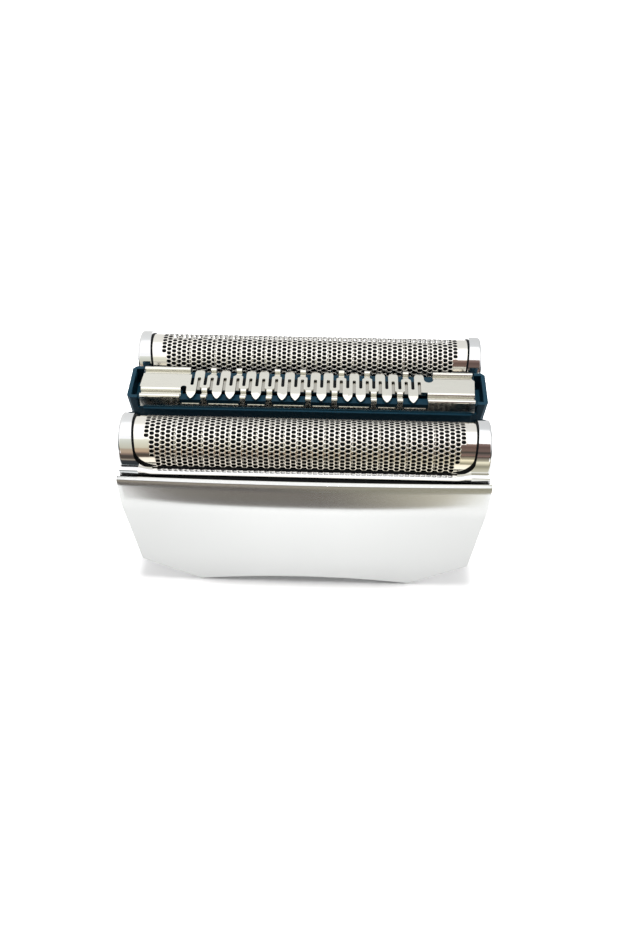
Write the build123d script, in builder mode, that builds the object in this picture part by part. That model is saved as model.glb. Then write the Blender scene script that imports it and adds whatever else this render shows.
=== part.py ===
from build123d import *
import math
import os

# Shaver foil head: two perforated foils and a middle trimmer float on bow springs in a moulded housing.
# X runs along the foils, -Y is the front, +Z is up, and z = 0 is the surface that the housing stands on.
# All sizes are in millimetres.

# Foils
FOIL_SPACING = 15.75
FOIL_RADIUS = 3.05
FOIL_THICKNESS = 0.10
FOIL_AXIS_Z = 19.5
FOIL_LEG_HEIGHT = 2.9
FOIL_END_CLEARANCE = 0.75
PLAIN_BAND = 2.0
HOLE_ROW_PITCH = 1.75
HOLE_ROWS_EACH_SIDE = 2
HOLE_COLUMN_PITCH = 5.2
HOLE_WIDTH = 4.3
HOLE_HEIGHT = 1.15

# Foil frames
FRAME_END_INSET = 0.25
FRAME_CLEARANCE = 0.10
CAP_WALL = 0.27
CAP_LENGTH = 1.5
CAP_END_WALL = 0.45
CAP_EDGE_CHAMFER = 0.20
RAIL_WIDTH = 0.75
RAIL_HEIGHT = 1.8
WINDOW_LEAN = 0.55
WINDOW_CORNER = 1.8

# Foil retainers
RETAINER_THICKNESS = 1.2
RETAINER_END_INSET = 2.1
RETAINER_SIDE_INSET = 0.2
RETAINER_END_BAND = 1.7
RETAINER_SIDE_BAND = 1.4
RETAINER_CORNER_CHAMFER = 0.6

# Cutters
CUTTER_CLEARANCE = 0.10
CUTTER_STROKE = 1.0
BLADE_THICKNESS = 0.25
BLADE_PITCH = 5.7
BLADE_ARC_FACETS = 8
BLADE_RING = 1.0
CUTTER_BASE_OVERHANG = 0.4
CUTTER_BASE_HEIGHT = 1.5
CUTTER_SIDE_CLEARANCE = 0.25
CUTTER_RIB_CLEARANCE = 0.12
CUTTER_RIB_HEIGHT = 1.3
BOSS_LENGTH = 6.4
BOSS_WIDTH = 4.2
BOSS_CORNER_CHAMFER = 0.8
BOSS_HEIGHT = 4.1
SOCKET_RADIUS = 1.4
SOCKET_DEPTH = 3.2

# Trimmer comb, one folded sheet
SHEET = 0.15
TRIMMER_RISE = 2.75
COMB_LEDGE = 0.32
COMB_SIDE = 1.38
COMB_HEIGHT = 1.7
CREST_WIDTH = 0.6
GROOVE_DEPTH = 0.60
SILL_HEIGHT = 0.5
PLATE_CORNER = 0.45
COMB_PLATE_LENGTH = 6.38
TOOTH_PITCH = 1.568
TOOTH_WIDTH = 1.18
TOOTH_INSET = 0.18
TOOTH_POINT_LENGTH = 0.85
TOOTH_TIP_LENGTH = 0.4
TOOTH_DROOP = 0.38
ZIGZAG_SHIFT = -0.23
SLOT_WIDTH = 0.38
SLOT_END = 0.75
STRAP_WIDTH = 0.66
STRAP_PATTERN = (1, 4)
STRAP_PERIOD = 5
SHOULDER_OVERHANG = 0.93

# Trimmer carrier
CARRIER_END_INSET = 0.15
CARRIER_WAIST_INSET = 0.35
CARRIER_FOOT_INSET = 0.7
CARRIER_BASE_INSET = 1.9
CARRIER_WAIST_DROP = 2.5
CARRIER_RIM_DROP = 0.25
CARRIER_BASE_HEIGHT = 2.85
CARRIER_BASE_LEDGE = 0.2
CARRIER_CORNER_CHAMFER = 0.4
CARRIER_LIP = 0.6
CARRIER_END_WALL = 0.5
POCKET_LENGTH = 0.8
POCKET_DEPTH = 2.2
POCKET_WALL = 0.5
UNIT_GAP = 0.825
COMB_END_CLEARANCE = 0.10
COMB_FOOT_CLEARANCE = 0.10
COMB_WALL_CLEARANCE = 0.10
CHANNEL_WALL = 1.45
CHANNEL_END_CLEARANCE = 0.3
CHANNEL_MOUTH_CLEARANCE = 0.8

# Trimmer blade and driver
TRIMMER_STROKE = 1.0
TRIMMER_BLADE_END_INSET = 5.6
TRIMMER_BLADE_SIDE_INSET = 0.2
TRIMMER_BLADE_CLEARANCE = 0.15
TRIMMER_BLADE_OVERHANG = 0.8
TRIMMER_TOOTH_PITCH = 2.8
TRIMMER_TOOTH_GAP = 1.0
TRIMMER_TOOTH_DEPTH = 0.7
DRIVER_CLEARANCE = 0.25
DRIVER_FOOT_CLEARANCE = 0.25
DRIVER_BOSS_LENGTH = 4.4
DRIVER_BOSS_HEIGHT = 3.0
DRIVER_SOCKET_RADIUS = 0.8
DRIVER_SOCKET_DEPTH = 2.4

# Guide legs and pegs of the floating units
FLOAT_TRAVEL = 1.8
LEG_END_INSET = 0.7
LEG_THICKNESS = 0.7
LEG_WIDTH = 2.8
LEG_HEIGHT = 4.9
PEG_WIDTH = 1.7
PEG_HEIGHT = 1.4
PEG_RISE = 0.7
PEG_TIP_REACH = 0.1
STOP_CLEARANCE = 0.1
GUIDE_CLEARANCE = 0.15

# Bow springs
SPRING_STRIP = 0.2
SPRING_SPAN = 5.0
SPRING_HEIGHT = 2.6
SPRING_FOOT = 0.7
SPRING_CROWN = 1.4

# Chassis
CHASSIS_CLEARANCE = 0.15
CHASSIS_RING_HEIGHT = 1.2
CHASSIS_BAND = 0.9
CHASSIS_INNER_LEDGE = 0.1
END_PLATE_THICKNESS = 0.8
END_PLATE_GAP = 0.2
END_PLATE_BRIDGE = 0.7

# Housing
PANEL_TOP_WIDTH = 43.5
PANEL_SIDE_TAPER = 1.6
PANEL_CORNER_Z = 3.85
PANEL_TIP_INSET = 8.6
PANEL_ARCH_RISE = 1.1
PANEL_TOP_DROP = 1.75
PANEL_BAND_HEIGHT = 3.05
PANEL_WALL = 0.82
PANEL_BOW = 0.32
PANEL_RIM_GAP = 0.5
PANEL_CREASE_BULGE = 0.9
PANEL_FOOT_INSET = 1.55
PANEL_CREASE_RADIUS = 4.0
PANEL_RIM_CHAMFER = 0.18
SIDE_WALL = 0.9
SIDE_RECESS = 0.5
SIDE_TOP_CLEARANCE = 0.3
LATCH_WINDOW_WIDTH = 8.0
LATCH_WINDOW_HEIGHT = 2.0
LATCH_WINDOW_GAP = 0.2

# Lengths along the foils
PANEL_CORNER_WIDTH = PANEL_TOP_WIDTH - 2 * PANEL_SIDE_TAPER
PANEL_TIP_WIDTH = PANEL_TOP_WIDTH - 2 * PANEL_TIP_INSET
FRAME_LENGTH = PANEL_TOP_WIDTH - 2 * FRAME_END_INSET
WINDOW_LENGTH_TOP = FRAME_LENGTH - 2 * CAP_LENGTH
WINDOW_LENGTH_RAIL = WINDOW_LENGTH_TOP - 2 * WINDOW_LEAN
FOIL_LENGTH = FRAME_LENGTH - 2 * (CAP_END_WALL + FOIL_END_CLEARANCE)
PERFORATED_LENGTH = FOIL_LENGTH - 2 * PLAIN_BAND
BLADE_PACK_LENGTH = PERFORATED_LENGTH - 2 * CUTTER_STROKE
CUTTER_BASE_LENGTH = BLADE_PACK_LENGTH + 2 * CUTTER_BASE_OVERHANG
RETAINER_LENGTH = FRAME_LENGTH - 2 * RETAINER_END_INSET
RETAINER_OPENING_LENGTH = RETAINER_LENGTH - 2 * RETAINER_END_BAND
LEG_INNER_X = RETAINER_LENGTH / 2 - LEG_END_INSET - LEG_THICKNESS
END_PLATE_X = LEG_INNER_X - END_PLATE_GAP - END_PLATE_THICKNESS / 2
CARRIER_LENGTH = PANEL_TOP_WIDTH - 2 * CARRIER_END_INSET
CARRIER_WAIST_LENGTH = CARRIER_LENGTH - 2 * CARRIER_WAIST_INSET
CARRIER_FOOT_LENGTH = CARRIER_LENGTH - 2 * CARRIER_FOOT_INSET
CARRIER_BASE_LENGTH = CARRIER_LENGTH - 2 * CARRIER_BASE_INSET
COMB_SEAT_LENGTH = CARRIER_LENGTH - 2 * (CARRIER_END_WALL + POCKET_LENGTH)
COMB_LENGTH = COMB_SEAT_LENGTH - 2 * COMB_END_CLEARANCE
TOOTH_COUNT = round((COMB_LENGTH - 2 * COMB_PLATE_LENGTH) / TOOTH_PITCH + 0.5)
FIRST_TOOTH_X = -(TOOTH_COUNT - 0.5) * TOOTH_PITCH / 2
ZIGZAG_END_X = -FIRST_TOOTH_X + SLOT_WIDTH
TRIMMER_BLADE_LENGTH = COMB_LENGTH - 2 * TRIMMER_BLADE_END_INSET
DRIVER_LENGTH = TRIMMER_BLADE_LENGTH - 2 * TRIMMER_BLADE_OVERHANG
CHANNEL_LENGTH = DRIVER_LENGTH + 2 * (TRIMMER_STROKE + CHANNEL_END_CLEARANCE)
CHANNEL_MOUTH_LENGTH = DRIVER_BOSS_LENGTH + 2 * (TRIMMER_STROKE + CHANNEL_MOUTH_CLEARANCE)

# Widths across the foils
FOIL_INNER_RADIUS = FOIL_RADIUS - FOIL_THICKNESS
CAP_RADIUS = FOIL_RADIUS + FRAME_CLEARANCE
CAP_OUTER_RADIUS = CAP_RADIUS + CAP_WALL
FRAME_WIDTH = 2 * (CAP_RADIUS + RAIL_WIDTH)
RETAINER_WIDTH = FRAME_WIDTH - 2 * RETAINER_SIDE_INSET
RETAINER_OPENING_WIDTH = RETAINER_WIDTH - 2 * RETAINER_SIDE_BAND
BLADE_RADIUS = FOIL_INNER_RADIUS - CUTTER_CLEARANCE
CARRIER_BASE_WIDTH = FOIL_SPACING - FRAME_WIDTH - 2 * UNIT_GAP
CARRIER_BOX_WIDTH = CARRIER_BASE_WIDTH - 2 * CARRIER_BASE_LEDGE
COMB_WIDTH = CARRIER_BASE_WIDTH - 2 * COMB_LEDGE
PLATE_WIDTH = COMB_WIDTH - 2 * COMB_SIDE
TOOTH_REACH = COMB_WIDTH / 2 - TOOTH_INSET
CHANNEL_WIDTH = CARRIER_BOX_WIDTH - 2 * CHANNEL_WALL
TRIMMER_BLADE_WIDTH = PLATE_WIDTH - 2 * TRIMMER_BLADE_SIDE_INSET
PANEL_RIM_Y = FOIL_SPACING / 2 + FRAME_WIDTH / 2 + PANEL_RIM_GAP + PANEL_WALL
PANEL_CREASE_Y = PANEL_RIM_Y + PANEL_CREASE_BULGE
PANEL_FOOT_Y = PANEL_CREASE_Y - PANEL_FOOT_INSET

# Heights
FRAME_BOTTOM_Z = FOIL_AXIS_Z - FOIL_LEG_HEIGHT
RAIL_TOP_Z = FRAME_BOTTOM_Z + RAIL_HEIGHT
RETAINER_BOTTOM_Z = FRAME_BOTTOM_Z - RETAINER_THICKNESS
CUTTER_BOTTOM_Z = FRAME_BOTTOM_Z + CUTTER_CLEARANCE
BLADE_FOOT_Z = CUTTER_BOTTOM_Z + CUTTER_BASE_HEIGHT
BOSS_BOTTOM_Z = CUTTER_BOTTOM_Z - BOSS_HEIGHT
PLATE_TOP_Z = FOIL_AXIS_Z + TRIMMER_RISE
WALL_BOTTOM_Z = PLATE_TOP_Z - COMB_HEIGHT
WINDOW_SILL_Z = WALL_BOTTOM_Z + SILL_HEIGHT
CARRIER_RIM_Z = PLATE_TOP_Z - CARRIER_RIM_DROP
CARRIER_WAIST_Z = CARRIER_RIM_Z - CARRIER_WAIST_DROP
CARRIER_BASE_TOP_Z = WALL_BOTTOM_Z - COMB_FOOT_CLEARANCE
CARRIER_BOTTOM_Z = CARRIER_BASE_TOP_Z - CARRIER_BASE_HEIGHT
POCKET_FLOOR_Z = CARRIER_RIM_Z - POCKET_DEPTH
TRIMMER_BLADE_TOP_Z = PLATE_TOP_Z - SHEET - TRIMMER_BLADE_CLEARANCE
DRIVER_BOSS_BOTTOM_Z = CARRIER_BOTTOM_Z - DRIVER_BOSS_HEIGHT
LEG_BOTTOM_Z = RETAINER_BOTTOM_Z - LEG_HEIGHT
PEG_BOTTOM_Z = LEG_BOTTOM_Z + PEG_RISE
GUIDE_SLOT_BOTTOM_Z = PEG_BOTTOM_Z - FLOAT_TRAVEL - STOP_CLEARANCE
GUIDE_SLOT_TOP_Z = PEG_BOTTOM_Z + PEG_HEIGHT + STOP_CLEARANCE
END_PLATE_TOP_Z = GUIDE_SLOT_TOP_Z + END_PLATE_BRIDGE
CHASSIS_RING_TOP_Z = LEG_BOTTOM_Z - SPRING_HEIGHT
CHASSIS_RING_BOTTOM_Z = CHASSIS_RING_TOP_Z - CHASSIS_RING_HEIGHT
PANEL_TOP_Z = FOIL_AXIS_Z - PANEL_TOP_DROP
PANEL_CREASE_Z = PANEL_TOP_Z - PANEL_BAND_HEIGHT
SIDE_TOP_Z = FRAME_BOTTOM_Z - FLOAT_TRAVEL - SIDE_TOP_CLEARANCE
LATCH_WINDOW_Z = CHASSIS_RING_BOTTOM_Z - LATCH_WINDOW_GAP - LATCH_WINDOW_HEIGHT / 2


def across(axis_y, x=0.0):
    """Plane across the foils: its x is the object's Y and its y is the object's Z."""
    return Plane(origin=(x, axis_y, 0), x_dir=(0, 1, 0), z_dir=(1, 0, 0))


def facing(axis_y):
    """Plane along the foils: its x is the object's X and its y is the object's Z."""
    return Plane(origin=(0, axis_y, 0), x_dir=(1, 0, 0), z_dir=(0, -1, 0))


def level(axis_y, z):
    """Horizontal plane above the middle of one unit."""
    return Plane(origin=(0, axis_y, z))


def arch(radius, bottom_z):
    """Outline of a round-topped arch about the foil axis, with straight legs down to bottom_z."""
    with BuildLine() as outline:
        Line((-radius, bottom_z), (-radius, FOIL_AXIS_Z))
        ThreePointArc((-radius, FOIL_AXIS_Z), (0, FOIL_AXIS_Z + radius), (radius, FOIL_AXIS_Z))
        Line((radius, FOIL_AXIS_Z), (radius, bottom_z))
        Line((radius, bottom_z), (-radius, bottom_z))
    return outline.edges()


def save(part, name):
    """Label a finished piece and write it as its own STEP file."""
    part.label = name
    export_step(part, f"parts/{name}.step")


def guide_legs(axis_y, top_z):
    """Make the two legs with pegs that guide one floating unit, one at each end."""
    leg_x = LEG_INNER_X + LEG_THICKNESS / 2
    peg_length = END_PLATE_GAP + END_PLATE_THICKNESS + PEG_TIP_REACH
    peg_x = LEG_INNER_X - peg_length / 2
    with BuildPart() as legs:
        with BuildSketch(level(axis_y, LEG_BOTTOM_Z)):
            with Locations((-leg_x, 0), (leg_x, 0)):
                Rectangle(LEG_THICKNESS, LEG_WIDTH)
        extrude(amount=top_z - LEG_BOTTOM_Z)
        with BuildSketch(level(axis_y, PEG_BOTTOM_Z)):
            with Locations((-peg_x, 0), (peg_x, 0)):
                Rectangle(peg_length, PEG_WIDTH)
        extrude(amount=PEG_HEIGHT)
    return legs.part


def make_foil(name, axis_y):
    """Arched sheet with a staggered lattice of holes, longer along the foil than across it."""
    with BuildPart() as foil:
        with BuildSketch(across(axis_y)):
            make_face(arch(FOIL_RADIUS, FRAME_BOTTOM_Z))
            make_face(arch(FOIL_INNER_RADIUS, FRAME_BOTTOM_Z), mode=Mode.SUBTRACT)
        extrude(amount=FOIL_LENGTH / 2, both=True)
        for row in range(-HOLE_ROWS_EACH_SIDE, HOLE_ROWS_EACH_SIDE + 1):
            turn = row * HOLE_ROW_PITCH / FOIL_RADIUS
            out = (0, math.sin(turn), math.cos(turn))
            columns = int(PERFORATED_LENGTH / HOLE_COLUMN_PITCH) - row % 2
            plane = Plane(origin=(0, axis_y, FOIL_AXIS_Z), x_dir=(1, 0, 0), z_dir=out)
            with BuildSketch(plane):
                with GridLocations(HOLE_COLUMN_PITCH, 1, columns, 1):
                    Rectangle(HOLE_WIDTH, HOLE_HEIGHT)
            extrude(amount=FOIL_RADIUS + FOIL_THICKNESS, mode=Mode.SUBTRACT)
    save(foil.part, name)


def make_foil_frame(name, axis_y):
    """Two arched end caps joined by low rails, open above between the caps."""
    with BuildPart() as frame:
        with BuildSketch(across(axis_y)):
            make_face(arch(CAP_OUTER_RADIUS, FRAME_BOTTOM_Z))
            with Locations((0, (RAIL_TOP_Z + FRAME_BOTTOM_Z) / 2)):
                Rectangle(FRAME_WIDTH, RAIL_TOP_Z - FRAME_BOTTOM_Z)
        extrude(amount=FRAME_LENGTH / 2, both=True)
        end_edges = frame.edges().filter_by(GeomType.CIRCLE)
        chamfer(end_edges, CAP_EDGE_CHAMFER)
        with BuildSketch(across(axis_y)):
            make_face(arch(CAP_RADIUS, FRAME_BOTTOM_Z))
        extrude(amount=FRAME_LENGTH / 2 - CAP_END_WALL, both=True, mode=Mode.SUBTRACT)
        with BuildSketch(facing(axis_y)):
            make_face(window_outline())
        extrude(amount=FRAME_WIDTH, both=True, mode=Mode.SUBTRACT)
    save(frame.part, name)


def window_outline():
    """Outline of the frame's window seen from the front, with round lower corners and leaning ends."""
    top_z = FOIL_AXIS_Z + CAP_OUTER_RADIUS
    lean = (WINDOW_LENGTH_TOP - WINDOW_LENGTH_RAIL) / 2 / (top_z - RAIL_TOP_Z)
    head = CAP_WALL
    half_top = WINDOW_LENGTH_TOP / 2 + lean * head
    with BuildLine() as outline:
        FilletPolyline(
            (-half_top, top_z + head),
            (-WINDOW_LENGTH_RAIL / 2, RAIL_TOP_Z),
            (WINDOW_LENGTH_RAIL / 2, RAIL_TOP_Z),
            (half_top, top_z + head),
            radius=WINDOW_CORNER,
        )
        Line((half_top, top_z + head), (-half_top, top_z + head))
    return outline.edges()


def make_foil_retainer(name, axis_y):
    """Ring that closes the frame from below, with a guide leg at each end."""
    with BuildPart() as retainer:
        with BuildSketch(level(axis_y, RETAINER_BOTTOM_Z)):
            ring = Rectangle(RETAINER_LENGTH, RETAINER_WIDTH)
            chamfer(ring.vertices(), RETAINER_CORNER_CHAMFER)
            Rectangle(RETAINER_OPENING_LENGTH, RETAINER_OPENING_WIDTH, mode=Mode.SUBTRACT)
        extrude(amount=RETAINER_THICKNESS)
        add(guide_legs(axis_y, RETAINER_BOTTOM_Z))
    save(retainer.part, name)


def make_cutter_blades(name, axis_y):
    """Row of arched blades that stand on the cutter carrier, as a group of separate solids."""
    count = int(BLADE_PACK_LENGTH / BLADE_PITCH) + 1
    bore = BLADE_RADIUS - BLADE_RING
    turns = [math.pi * step / BLADE_ARC_FACETS for step in range(BLADE_ARC_FACETS + 1)]
    crown = [
        (BLADE_RADIUS * math.cos(turn), FOIL_AXIS_Z + BLADE_RADIUS * math.sin(turn))
        for turn in turns
    ]
    with BuildPart() as blades:
        with BuildSketch(across(axis_y)):
            with BuildLine():
                Polyline(
                    (BLADE_RADIUS, BLADE_FOOT_Z),
                    *crown,
                    (-BLADE_RADIUS, BLADE_FOOT_Z),
                    (-bore, BLADE_FOOT_Z),
                    (-bore, FOIL_AXIS_Z + bore / 2),
                    (-bore / 2, FOIL_AXIS_Z + bore),
                    (bore / 2, FOIL_AXIS_Z + bore),
                    (bore, FOIL_AXIS_Z + bore / 2),
                    (bore, BLADE_FOOT_Z),
                    close=True,
                )
            make_face()
        extrude(amount=BLADE_THICKNESS / 2, both=True)
    with BuildPart() as pack:
        with GridLocations(BLADE_PITCH, 1, count, 1):
            add(blades.part)
    save(pack.part, name)


def make_cutter_carrier(name, axis_y):
    """Beam that the blades stand on, with a rib through their arches and a drive socket below."""
    base_width = 2 * (FOIL_INNER_RADIUS - CUTTER_SIDE_CLEARANCE)
    rib_width = 2 * (BLADE_RADIUS - BLADE_RING - CUTTER_RIB_CLEARANCE)
    with BuildPart() as carrier:
        with BuildSketch(level(axis_y, CUTTER_BOTTOM_Z)):
            Rectangle(CUTTER_BASE_LENGTH, base_width)
        extrude(amount=BLADE_FOOT_Z - CUTTER_BOTTOM_Z)
        with BuildSketch(level(axis_y, BLADE_FOOT_Z)):
            Rectangle(CUTTER_BASE_LENGTH, rib_width)
        extrude(amount=CUTTER_RIB_HEIGHT)
        with BuildSketch(level(axis_y, BOSS_BOTTOM_Z)):
            boss = Rectangle(BOSS_LENGTH, BOSS_WIDTH)
            chamfer(boss.vertices(), BOSS_CORNER_CHAMFER)
        extrude(amount=CUTTER_BOTTOM_Z - BOSS_BOTTOM_Z)
        with BuildSketch(level(axis_y, BOSS_BOTTOM_Z)):
            Circle(SOCKET_RADIUS)
        extrude(amount=SOCKET_DEPTH, mode=Mode.SUBTRACT)
    save(carrier.part, name)


def has_strap(index):
    """Tell whether the tooth with this number is a blunt one that a strap ties to the side wall."""
    return index % STRAP_PERIOD in STRAP_PATTERN


def tooth_places(side):
    """Number and place along X of each tooth on one side of the comb, 1 for the front and -1 for the rear."""
    return [
        (index, ZIGZAG_SHIFT + side * (FIRST_TOOTH_X + index * TOOTH_PITCH)) for index in range(TOOTH_COUNT)
    ]


def folded_section():
    """Section of the comb at its end plates: plate, groove and crest on each side, then the wall."""
    half_sheet = SHEET / 2
    plate_z = PLATE_TOP_Z - half_sheet
    groove_z = plate_z - GROOVE_DEPTH
    flange_y = PLATE_WIDTH / 2 + half_sheet
    wall_y = COMB_WIDTH / 2 - half_sheet
    crest_y = COMB_WIDTH / 2 - CREST_WIDTH + half_sheet
    wall_z = WALL_BOTTOM_Z + half_sheet
    return sheet_section(
        (-wall_y, wall_z),
        (-wall_y, plate_z),
        (-crest_y, plate_z),
        (-crest_y, groove_z),
        (-flange_y, groove_z),
        (-flange_y, plate_z),
        (flange_y, plate_z),
        (flange_y, groove_z),
        (crest_y, groove_z),
        (crest_y, plate_z),
        (wall_y, plate_z),
        (wall_y, wall_z),
    )


def tooth_section():
    """Section through the teeth: flat, with both tips bent down."""
    plate_z = PLATE_TOP_Z - SHEET / 2
    flat = TOOTH_REACH - TOOTH_TIP_LENGTH
    return sheet_section(
        (-TOOTH_REACH, plate_z - TOOTH_DROOP),
        (-flat, plate_z),
        (flat, plate_z),
        (TOOTH_REACH, plate_z - TOOTH_DROOP),
    )


def sheet_section(*points):
    """Outline of a folded sheet whose middle follows these points, ending half a sheet beyond them."""
    with BuildLine() as fold:
        Polyline(*points)
        offset(amount=SHEET / 2, side=Side.BOTH, kind=Kind.INTERSECTION, mode=Mode.REPLACE)
    return fold.edges()


def zigzag_outline():
    """Outline of the zigzag seen from above: pointed or blunt teeth, with slots from both sides."""
    half = TOOTH_WIDTH / 2
    shoulder = TOOTH_REACH - TOOTH_POINT_LENGTH
    slot_length = SLOT_END + TOOTH_REACH
    slot_y = (TOOTH_REACH - SLOT_END) / 2
    with Locations((ZIGZAG_SHIFT, 0)):
        Rectangle(2 * ZIGZAG_END_X, PLATE_WIDTH)
    for side in (1, -1):
        for index, x in tooth_places(side):
            if not has_strap(index):
                Polygon(
                    (x - half, 0),
                    (x - half, -side * shoulder),
                    (x, -side * TOOTH_REACH),
                    (x + half, -side * shoulder),
                    (x + half, 0),
                    align=None,
                )
    for side in (1, -1):
        for index, x in tooth_places(side):
            with Locations((x, side * slot_y)):
                Rectangle(SLOT_WIDTH, slot_length, mode=Mode.SUBTRACT)


def make_trimmer_comb():
    """Folded sheet with end plates, tied by straps to a zigzag of teeth along its middle."""
    near_end = -FIRST_TOOTH_X + TOOTH_WIDTH / 2 + SHOULDER_OVERHANG
    far_end = near_end - TOOTH_PITCH / 2
    window_x = (near_end - far_end) / 2
    window_depth = (COMB_WIDTH - PLATE_WIDTH) / 2
    window_y = (COMB_WIDTH + PLATE_WIDTH) / 4
    with BuildPart() as teeth:
        with BuildSketch(across(0)):
            make_face(tooth_section())
        extrude(amount=COMB_LENGTH / 2, both=True)
        with BuildSketch(level(0, WALL_BOTTOM_Z)):
            zigzag_outline()
        extrude(amount=PLATE_TOP_Z, mode=Mode.INTERSECT)
    with BuildPart() as comb:
        with BuildSketch(across(0)):
            make_face(folded_section())
        extrude(amount=COMB_LENGTH / 2, both=True)
        with BuildSketch(level(0, WINDOW_SILL_Z)):
            with Locations((-window_x, -window_y), (window_x, window_y)):
                Rectangle(near_end + far_end, window_depth)
            for side in (1, -1):
                for index, x in tooth_places(side):
                    if has_strap(index):
                        with Locations((x, -side * window_y)):
                            Rectangle(STRAP_WIDTH, window_depth, mode=Mode.SUBTRACT)
            with Locations((ZIGZAG_SHIFT, 0)):
                Rectangle(2 * ZIGZAG_END_X, PLATE_WIDTH)
            corner_x = COMB_LENGTH / 2
            corner_y = PLATE_WIDTH / 2 + SHEET
            for x_side, y_side in ((1, 1), (1, -1), (-1, 1), (-1, -1)):
                Polygon(
                    (x_side * corner_x, y_side * corner_y),
                    (x_side * (corner_x - PLATE_CORNER), y_side * corner_y),
                    (x_side * corner_x, y_side * (corner_y - PLATE_CORNER)),
                    align=None,
                )
        extrude(amount=PLATE_TOP_Z, mode=Mode.SUBTRACT)
        add(teeth.part)
    save(comb.part, "trimmer_comb")


def make_trimmer_carrier():
    """Beam with a box at each end; the comb sits between the boxes and the driver slides inside."""
    seat_z = PLATE_TOP_Z - GROOVE_DEPTH - SHEET
    rib_width = COMB_WIDTH - 2 * SHEET - 2 * COMB_WALL_CLEARANCE
    with BuildPart() as carrier:
        with BuildSketch(facing(0)):
            with BuildLine():
                Polyline(
                    (-CARRIER_FOOT_LENGTH / 2, CARRIER_BOTTOM_Z),
                    (-CARRIER_WAIST_LENGTH / 2, CARRIER_WAIST_Z),
                    (-CARRIER_LENGTH / 2, CARRIER_RIM_Z),
                    (CARRIER_LENGTH / 2, CARRIER_RIM_Z),
                    (CARRIER_WAIST_LENGTH / 2, CARRIER_WAIST_Z),
                    (CARRIER_FOOT_LENGTH / 2, CARRIER_BOTTOM_Z),
                    close=True,
                )
            make_face()
        extrude(amount=CARRIER_BOX_WIDTH / 2, both=True)
        leaning_edges = carrier.edges().filter_by(Axis.X, reverse=True).filter_by(Axis.Y, reverse=True)
        chamfer(leaning_edges, CARRIER_CORNER_CHAMFER)
        with BuildSketch(level(0, seat_z)):
            Rectangle(COMB_SEAT_LENGTH, CARRIER_BOX_WIDTH)
        extrude(amount=CARRIER_RIM_Z, mode=Mode.SUBTRACT)
        with BuildSketch(level(0, CARRIER_BASE_TOP_Z)):
            Rectangle(COMB_SEAT_LENGTH, CARRIER_BOX_WIDTH)
            Rectangle(COMB_SEAT_LENGTH, rib_width, mode=Mode.SUBTRACT)
        extrude(amount=seat_z - CARRIER_BASE_TOP_Z, mode=Mode.SUBTRACT)
        with BuildSketch(level(0, CARRIER_BOTTOM_Z)):
            Rectangle(CARRIER_BASE_LENGTH, CARRIER_BASE_WIDTH)
        extrude(amount=CARRIER_BASE_TOP_Z - CARRIER_BOTTOM_Z)
        with BuildSketch(level(0, POCKET_FLOOR_Z)):
            pocket_x = (COMB_SEAT_LENGTH + POCKET_LENGTH) / 2
            with Locations((-pocket_x, 0), (pocket_x, 0)):
                Rectangle(POCKET_LENGTH, CARRIER_BOX_WIDTH - 2 * POCKET_WALL)
        extrude(amount=CARRIER_RIM_Z, mode=Mode.SUBTRACT)
        with BuildSketch(level(0, CARRIER_BOTTOM_Z + CARRIER_LIP)):
            Rectangle(CHANNEL_LENGTH, CHANNEL_WIDTH)
        extrude(amount=CARRIER_RIM_Z, mode=Mode.SUBTRACT)
        with BuildSketch(level(0, CARRIER_BOTTOM_Z)):
            Rectangle(CHANNEL_MOUTH_LENGTH, CHANNEL_WIDTH)
        extrude(amount=CARRIER_LIP, mode=Mode.SUBTRACT)
        add(guide_legs(0, CARRIER_BOTTOM_Z))
    save(carrier.part, "trimmer_carrier")


def make_trimmer_blade():
    """Flat blade with teeth along both edges, sliding under the comb."""
    count = int(TRIMMER_BLADE_LENGTH / TRIMMER_TOOTH_PITCH)
    with BuildPart() as blade:
        with BuildSketch(level(0, TRIMMER_BLADE_TOP_Z - SHEET)):
            Rectangle(TRIMMER_BLADE_LENGTH, TRIMMER_BLADE_WIDTH)
            with GridLocations(TRIMMER_TOOTH_PITCH, TRIMMER_BLADE_WIDTH, count, 2):
                Rectangle(TRIMMER_TOOTH_GAP, 2 * TRIMMER_TOOTH_DEPTH, mode=Mode.SUBTRACT)
        extrude(amount=SHEET)
    save(blade.part, "trimmer_blade")


def make_trimmer_driver():
    """Slider under the trimmer blade, with a drive socket that reaches down through the carrier."""
    width = CHANNEL_WIDTH - 2 * DRIVER_CLEARANCE
    bottom_z = CARRIER_BOTTOM_Z + CARRIER_LIP + DRIVER_FOOT_CLEARANCE
    with BuildPart() as driver:
        with BuildSketch(level(0, bottom_z)):
            Rectangle(DRIVER_LENGTH, width)
        extrude(amount=TRIMMER_BLADE_TOP_Z - SHEET - bottom_z)
        with BuildSketch(level(0, DRIVER_BOSS_BOTTOM_Z)):
            Rectangle(DRIVER_BOSS_LENGTH, width)
        extrude(amount=bottom_z - DRIVER_BOSS_BOTTOM_Z)
        with BuildSketch(level(0, DRIVER_BOSS_BOTTOM_Z)):
            Circle(DRIVER_SOCKET_RADIUS)
        extrude(amount=DRIVER_SOCKET_DEPTH, mode=Mode.SUBTRACT)
    save(driver.part, "trimmer_driver")


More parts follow.
